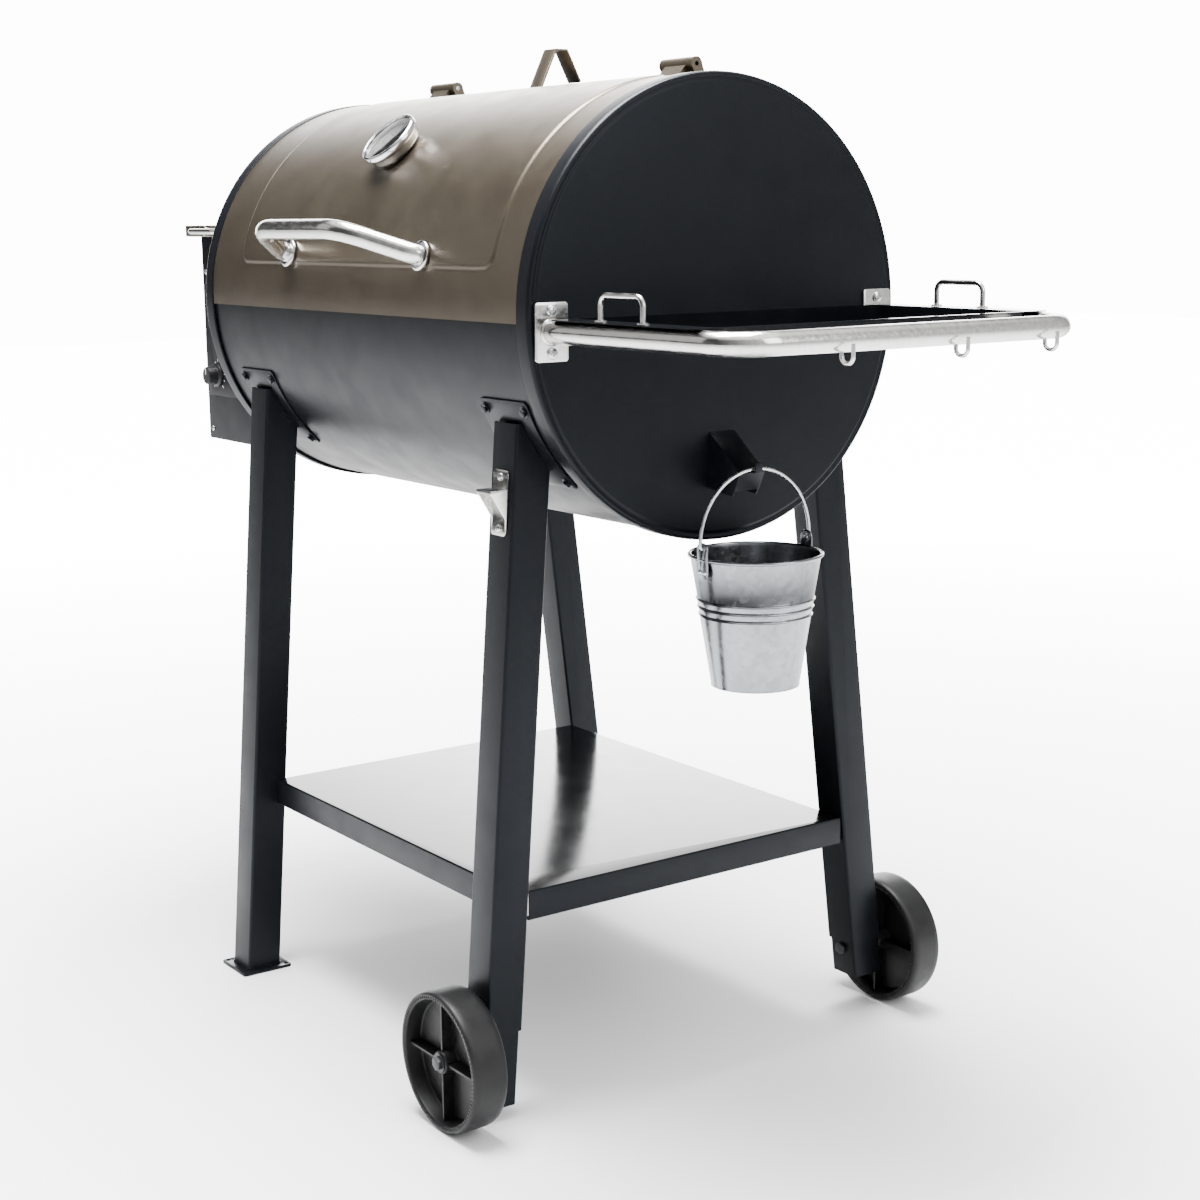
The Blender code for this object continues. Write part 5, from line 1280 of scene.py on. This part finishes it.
def leg_bar(row, middle, size, bottom, top, corner):
    """A rounded square bar that follows a leg's splay, with level ends."""
    half = size / 2
    bm = prism(rounded_rect(-half, -half, half, half, corner, 5), "z", bottom, top)
    for vert in bm.verts:
        vert.co.x += middle
        vert.co.y += leg_y(row, vert.co.z)
    return bm


def build_leg(row, side):
    """One leg's tube and the curved saddle that bolts it to the barrel."""
    middle = LEG_X[side]
    end = at_home(f"{row}_{side}_leg")[0].z
    leg = solid("leg", leg_bar(row, middle, LEG, end, LEG_TOP, 0.0035))
    cut(leg, leg_bar(row, middle, LEG - 2 * LEG_WALL, end - 0.1, LEG_TOP + 0.1, 0.002))
    cut(leg, rod("x", (0.0, 0.0), SADDLE + 0.0006, middle - 0.1, middle + 0.1, 192))
    piece(f"{row}_{side}_leg_tube", leg, BLACK, "frame", f"{row}_{side}_leg", sharp=40)

    angles = (-20.8, -48.0) if row == "front" else (-159.2, -132.0)
    facing = -1 if row == "front" else 1
    sheet = arc_sheet(middle - 0.048, middle + 0.048, SHELL + GAP, SADDLE, *sorted(angles))
    corners = []
    for edge in sheet.edges:
        radii = [math.hypot(v.co.y, v.co.z) for v in edge.verts]
        flat = abs(edge.verts[0].co.x - edge.verts[1].co.x) < 1e-6
        turn = [math.degrees(math.atan2(v.co.z, -v.co.y)) for v in edge.verts]
        if flat and abs(radii[0] - radii[1]) > 0.001 and min(abs(turn[0] - a) for a in angles) < 0.05:
            corners.append(edge)
    bmesh.ops.bevel(sheet, geom=corners, offset=0.007, segments=5, affect="EDGES", profile=0.5)
    inside = LEG / 2 - LEG_WALL - GAP
    y = leg_y(row, LEG_TOP - 0.06)
    tongues = bmesh.new()
    for turn in (-1, 1):
        near = (middle + turn * inside, y - 0.016, LEG_TOP - 0.105)
        far = (middle + turn * (inside - LEG_WALL), y + 0.016, LEG_TOP - 0.01)
        block(near, far, tongues)
    tongue = solid("tongue", tongues)
    cut(tongue, rod("x", (0.0, 0.0), SADDLE - 0.0004, middle - 0.1, middle + 0.1, 192))
    gather(sheet, evaluated(tongue))
    clear_cutters()
    piece(f"{row}_{side}_saddle_plate", sheet, BLACK, "frame", f"{row}_{side}_saddle", bevel=0.0004)
    bolts = bmesh.new()
    for degrees in (angles[0] + facing * 2.6, angles[1] - facing * 2.6):
        for dx in (-0.039, 0.039):
            place_at = stand_on(on_barrel(middle + dx, SADDLE, degrees), on_barrel(0.0, 1.0, degrees))
            gather(bolts, moved(hex_bolt(0.0052, 0.0044), place_at))
    piece(f"{row}_{side}_saddle_bolts", bolts, BLACK, "frame")


def build_feet():
    """The square plates under the two left legs, each with a weld bead and two screw holes."""
    top = FLOOR + 0.004
    for row in ("front", "rear"):
        x, y = LEG_X["left"], leg_y(row, FLOOR)
        plate = rounded_rect(x - 0.036, y - 0.036, x + 0.036, y + 0.036, 0.004)
        shape = solid("foot", prism(plate, "z", FLOOR, top))
        for side in (-1, 1):
            cut(shape, rod("z", (x + side * 0.03, y + side * 0.03), 0.003, FLOOR - 0.01, FLOOR + 0.01, 24))
        piece(f"{row}_foot", shape, BLACK, "frame", f"{row}_foot_plate", bevel=0.0008)
        seat = leg_y(row, top + 0.0012)
        outline = rounded_rect(-0.0246, -0.0246, 0.0246, 0.0246, 0.004, 4)
        corners = [(u + x, v + seat, top + 0.001) for u, v in outline]
        bead = pipe(corners + [corners[0]], 0.0012, 4)
        piece(f"{row}_foot_weld", bead, BLACK, "frame", sharp=60)


for row_name in ("front", "rear"):
    for side_name in ("left", "right"):
        build_leg(row_name, side_name)
build_feet()

# --- wheels and axles

WHEEL_RADIUS = (at_home("front_wheel")[1].z - at_home("front_wheel")[0].z) / 2
WHEEL_WIDTH = 0.045
AXLE = (LEG_X["right"], FLOOR + WHEEL_RADIUS)


def wheel_face(row):
    """Which way a wheel faces, and where its inner face is."""
    outward = -1 if row == "front" else 1
    return outward, leg_y(row, AXLE[1]) + outward * (LEG / 2 + 0.006)


def build_wheel(row):
    """A dished plastic wheel with four ribs and a ring of grip ridges on each side."""
    outward, face = wheel_face(row)

    def at(depth):
        return face + outward * depth

    profile = [
        (0.0056, at(0.0)),
        (0.0135, at(0.0)),
        (0.0145, at(0.018)),
        (0.07, at(0.02)),
        (0.0725, at(0.001)),
        (0.079, at(0.0)),
        (0.0812, at(0.003)),
        (WHEEL_RADIUS, at(0.008)),
        (WHEEL_RADIUS, at(0.037)),
        (0.0812, at(0.042)),
        (0.079, at(0.045)),
        (0.0725, at(0.044)),
        (0.07, at(0.024)),
        (0.0145, at(0.024)),
        (0.0135, at(0.041)),
        (0.0056, at(0.041)),
    ]
    wheel = solid("wheel", turned(rounded(profile, 0.0024, 4), "y", AXLE, 160))
    for i in range(4):
        for low, high in ((at(0.0225), at(0.038)), (at(0.006), at(0.0215))):
            rib = block((0.011, low, -0.0014), (0.072, high, 0.0014))
            join(wheel, moved(rib, spun(AXLE, 90 * i)))
    piece(f"{row}_wheel_disc", wheel, PLASTIC, f"{row}_wheel_body", f"{row}_wheel", sharp=32)

    ridges = bmesh.new()
    for i in range(96):
        for low, high in ((at(0.0444), at(0.0452)), (at(-0.0002), at(0.0006))):
            ridge = block((0.0742, low, -0.0007), (0.0778, high, 0.0007))
            gather(ridges, moved(ridge, spun(AXLE, 3.75 * i)))
    piece(f"{row}_wheel_grip", ridges, PLASTIC, f"{row}_wheel_body")


def build_axle(row):
    """A leg's inner sleeve, and the axle bolt that runs through it with a nut outside the wheel."""
    outward, face = wheel_face(row)
    outer = face + outward * (WHEEL_WIDTH - 0.004)
    size = LEG - 2 * LEG_WALL - 2 * GAP
    low, high = at_home(f"{row}_axle_sleeve")
    sleeve = solid("sleeve", leg_bar(row, AXLE[0], size, low.z, high.z, 0.003))
    cut(sleeve, leg_bar(row, AXLE[0], size - 0.005, low.z - 0.1, 0.0, 0.0015))
    cut(sleeve, rod("y", AXLE, 0.0053, -0.5, 0.5, 32))
    piece(f"{row}_leg_sleeve", sleeve, BLACK, "frame", f"{row}_axle_sleeve", sharp=40)

    inner = leg_y(row, AXLE[1]) - outward * size / 2
    shaft = rod("y", AXLE, 0.005, *sorted((inner - outward * 0.004, outer + outward * 0.0052)), 48)
    ends = (
        (hex_bolt(0.0085, 0.0058), outer + outward * GAP, outward),
        (hex_bolt(0.0082, 0.0034, False), inner - outward * 0.0025, -outward),
    )
    for bolt, y, facing in ends:
        gather(shaft, moved(bolt, stand_on((AXLE[0], y, AXLE[1]), (0, facing, 0))))
    piece(f"{row}_axle", shaft, BOLT, "frame", f"{row}_axle_bolt")


for row_name in ("front", "rear"):
    build_wheel(row_name)
    build_axle(row_name)

# --- shelf



def build_shelf():
    """The folded shelf: a flat top with turned-down sides and a narrow return, notched round one leg."""
    low, high = at_home("bottom_shelf")
    top, sheet, lip, clear = high.z, 0.0015, 0.012, 0.0006
    rect = (low.x, low.y, high.x, high.y)
    shelf = soften(solid("shelf", prism(rounded_rect(*rect, 0.0025, 4), "z", low.z, top)), 0.0022, 4, 60.0)
    cut(shelf, prism(rounded_rect(*inset(rect, sheet), 0.0015, 4), "z", low.z + sheet, top - sheet))
    cut(shelf, prism(rounded_rect(*inset(rect, lip), 0.003, 4), "z", low.z - 0.1, low.z + 0.01))
    notch_y = leg_y("front", top) + LEG / 2 + clear
    cut(shelf, block((LEG_X["right"] - LEG / 2 - clear, -0.3, top - 0.1), (0.0, notch_y, top + 0.1)))
    made = piece("shelf_tray", shelf, ENAMEL, "frame", "bottom_shelf", sharp=40)
    made.data.materials.append(BLACK)
    for polygon in made.data.polygons:
        polygon.material_index = int(abs(polygon.normal.z) < 0.7)


build_shelf()

# --- side rail and serving tray

RAIL_Y, RAIL_Z, RAIL_REACH, RAIL_RADIUS = 0.232, -0.015, 0.312, 0.0125
RAIL_PLATE = 0.0033


def build_rail():
    """The bent tube rail on its two plates, with welds, screws and three hooks."""
    root = 0.0023
    corners = ((root, -RAIL_Y), (RAIL_REACH, -RAIL_Y), (RAIL_REACH, RAIL_Y), (root, RAIL_Y))
    tube = pipe(fillet([(x, y, RAIL_Z) for x, y in corners], (0.045, 0.045), 24), RAIL_RADIUS, 14)
    piece("rail_tube", tube, STAINLESS, "frame", "side_rail", sharp=60)
    plates = bmesh.new()
    screws = bmesh.new()
    weld = [(0.012, 0.003), (0.015, 0.0033), (0.0143, 0.0046), (0.0126, 0.0056), (0.012, 0.0056)]
    for y in (-RAIL_Y, RAIL_Y):
        plate = rounded_rect(y - 0.021, RAIL_Z - 0.0315, y + 0.021, RAIL_Z + 0.0315, 0.004)
        prism(plate, "x", GAP, RAIL_PLATE, plates)
        turned(weld, "x", (y, RAIL_Z), 64, plates)
        for dz in (-0.0225, 0.0225):
            add_screw(screws, 0.0062, 0.0034, (RAIL_PLATE, y, RAIL_Z + dz), (1, 0, 0))
    piece("rail_plates", plates, STAINLESS, "frame", bevel=0.0006)
    piece("rail_screws", screws, ZINC, "frame")
    hooks = bmesh.new()
    under = RAIL_Z - RAIL_RADIUS
    near, far = RAIL_REACH + 0.003, RAIL_REACH + 0.02
    bend = ((near, under + 0.003), (near, under - 0.01), (far, under - 0.01), (far, RAIL_Z - 0.003))
    for y in (-0.105, 0.05, 0.18):
        path = [(x, y, z) for x, z in bend]
        gather(hooks, pipe(fillet(path, (0.0075, 0.0075), 10), 0.0022, 6))
    piece("rail_hooks", hooks, STAINLESS, "frame", sharp=60)


def build_tray():
    """The dark serving tray that drops into the rail, with a rounded pan, and its two bail handles."""
    low, high = at_home("serving_tray")
    rim_z = RAIL_Z + RAIL_RADIUS + GAP
    sheet = 0.0012
    pan = (low.x + 0.004, -0.2155, high.x - 0.004, 0.2155)
    tray = solid("tray", prism(rounded_rect(low.x, low.y, high.x, high.y, 0.01), "z", rim_z, high.z))
    join(tray, prism(rounded_rect(*pan, 0.014), "z", low.z, rim_z + 0.0006))
    cut(tray, prism(rounded_rect(*inset(pan, sheet), 0.0128), "z", low.z + sheet, 0.05))
    piece("tray_pan", tray, ENAMEL, "side_tray", "serving_tray")
    seat = high.z + GAP
    nut = [(0.0031, 0.0), (0.0066, 0.0), (0.0066, 0.0012), (0.0045, 0.002), (0.0031, 0.002)]
    nut = [(radius, seat + up) for radius, up in nut]
    near, far = 0.098, 0.17
    for end, side in (("front", -1), ("rear", 1)):
        y = side * (RAIL_Y + 0.004)
        arch = ((near, 0.0), (near, 0.027), (far, 0.027), (far, 0.0))
        grip = pipe(fillet([(x, y, seat + up) for x, up in arch], (0.01, 0.01), 14), 0.003, 8)
        for x in (near, far):
            turned(nut, "z", (x, y), 32, grip)
        piece(f"{end}_tray_grip", grip, STAINLESS, "side_tray", f"{end}_tray_handle", sharp=50)


build_rail()
build_tray()

# --- grease spout, bail and bucket

HOOK_X = 0.06
BAIL_TOP, BAIL_RADIUS, BAIL_WIRE, EAR_Z = -0.173, 0.0785, 0.002, -0.256
BUCKET_FOOT, BUCKET_RISE = -0.418, 0.152


def build_spout():
    """The folded grease spout with the hook strip the bail hangs on."""
    half, sheet = 0.018, 0.002
    outside = [(GAP, -0.136), (0.0545, -0.178), (0.04, -0.205), (GAP, -0.2)]
    inside = [(-0.02, -0.143), (0.05, -0.18), (0.0385, -0.212)]
    inside += [(0.02, -0.23), (0.006, -0.2), (-0.02, -0.19)]
    spout = solid("spout", prism(outside, "y", -half, half))
    cut(spout, prism(inside, "y", -half + sheet, half - sheet))
    join(spout, prism(strap([(-0.03, -0.16), (0.006, -0.172)], 0.0015), "y", -0.015, 0.0162))
    piece("spout_hood", spout, BLACK, "frame", "grease_spout", bevel=0.0007)
    hook_z = BAIL_TOP - BAIL_WIRE - 0.0016
    line = [(0.048, -0.1768), (HOOK_X - 0.003, hook_z), (HOOK_X + 0.0045, hook_z), (HOOK_X + 0.006, -0.166)]
    hook = prism(strap(line, 0.0022), "y", -0.005, 0.005)
    piece("spout_hook", hook, BLACK, "frame", bevel=0.0004)


def build_bail():
    """The bucket's wire handle, with its ends turned in through the ears."""
    arch_z = BAIL_TOP - BAIL_RADIUS
    tip = BAIL_RADIUS - 0.0095
    arch = [(-tip, EAR_Z), (-BAIL_RADIUS, EAR_Z), (-BAIL_RADIUS, arch_z)]
    for i in range(1, 48):
        angle = math.pi * i / 48
        arch.append((-BAIL_RADIUS * math.cos(angle), arch_z + BAIL_RADIUS * math.sin(angle)))
    arch += [(BAIL_RADIUS, arch_z), (BAIL_RADIUS, EAR_Z), (tip, EAR_Z)]
    path = [Vector((HOOK_X, y, z)) for y, z in arch]
    first, last = (fillet(ends, [0.0035], 8)[1:-1] for ends in (path[:3], path[-3:]))
    line = path[:1] + first + path[2:-2] + last + path[-1:]
    piece("bail_wire", pipe(line, BAIL_WIRE, 7), ZINC, "bail", "bucket_bail", sharp=60)


def bucket_radius(z):
    """The wall's outer radius at a height, from the foot ring up to the rim."""
    return 0.0497 + (0.074 - 0.0497) * (z - BUCKET_FOOT) / BUCKET_RISE


def build_bucket():
    """The galvanised bucket: tapered wall with three rolled ribs, wired rim, foot ring and ears."""
    wall = [(0.0, -0.416), (0.047, -0.416), (0.0482, BUCKET_FOOT), (0.0502, BUCKET_FOOT)]
    wall.append((bucket_radius(-0.4155), -0.4155))
    for z in (-0.336, -0.327, -0.318):
        for i in range(9):
            t = i / 8
            wall.append((bucket_radius(z) + 0.0017 * math.sin(math.pi * t) ** 2, z + 0.004 * (t - 0.5)))
    wall.append((bucket_radius(-0.271), -0.271))
    for i in range(13):
        angle = math.radians(-70 + 20 * i)
        wall.append((0.0742 + 0.0022 * math.cos(angle), -0.2685 + 0.0022 * math.sin(angle)))
    wall += [(0.0722, -0.272), (0.0488, -0.414), (0.0, -0.414)]
    piece("pail_wall", turned(wall, "z", (HOOK_X, 0.0), 160), GALVANISED, "pail", "bucket", sharp=40)
    ears = bmesh.new()
    rivets = bmesh.new()
    outline = rounded_rect(HOOK_X - 0.0095, -0.29, HOOK_X + 0.0095, -0.249, 0.008, 8)
    dome = [(0.0, 0.0), (0.003, 0.0), (0.0026, 0.001), (0.0014, 0.0016), (0.0, 0.0018)]
    for side in (-1, 1):
        outside = side * 0.076
        ear = solid("ear", prism(outline, "y", side * 0.0744, outside))
        cut(ear, rod("y", (HOOK_X, EAR_Z), 0.0026, -0.1, 0.1, 24))
        gather(ears, evaluated(ear))
        clear_cutters()
        for dx in (-0.0045, 0.0045):
            place_at = stand_on((HOOK_X + dx, outside, -0.282), (0, side, 0))
            gather(rivets, moved(turned(dome, count=24), place_at))
    piece("pail_ears", ears, GALVANISED, "pail", bevel=0.0003)
    piece("pail_rivets", rivets, ZINC, "pail", sharp=60)


build_spout()
build_bail()
build_bucket()

# --- bottle opener


def build_opener():
    """The pressed bottle opener on the front right leg: plate, bent jaw and two screws."""
    z = -0.205
    lean = Matrix.Rotation(math.atan(LEG_SLOPE["front"]), 4, "X")
    put = Matrix.Translation((LEG_X["right"], leg_y("front", z) - LEG / 2, z)) @ lean
    plate = prism(rounded_rect(-0.015, -0.036, 0.015, 0.037, 0.005), "y", -0.0024, -0.0006)
    opener = solid("opener", moved(plate, put))
    jaw = [(-0.0012, -0.019), (-0.0012, 0.016), (-0.024, 0.014), (-0.024, 0.01), (-0.0225, 0.01)]
    join(opener, moved(prism(jaw, "x", -0.015, 0.015), put))
    cut(opener, moved(block((-0.0128, -0.03, -0.03), (0.0128, -0.0023, 0.0105)), put))
    piece("opener_plate", opener, STAINLESS, "frame", "bottle_opener", bevel=0.0006)
    screws = bmesh.new()
    for dz in (-0.028, 0.029):
        add_screw(screws, 0.0045, 0.0026, (0.0, -0.0024, dz), (0, -1, 0))
    piece("opener_screws", moved(screws, put), ZINC, "frame")


build_opener()
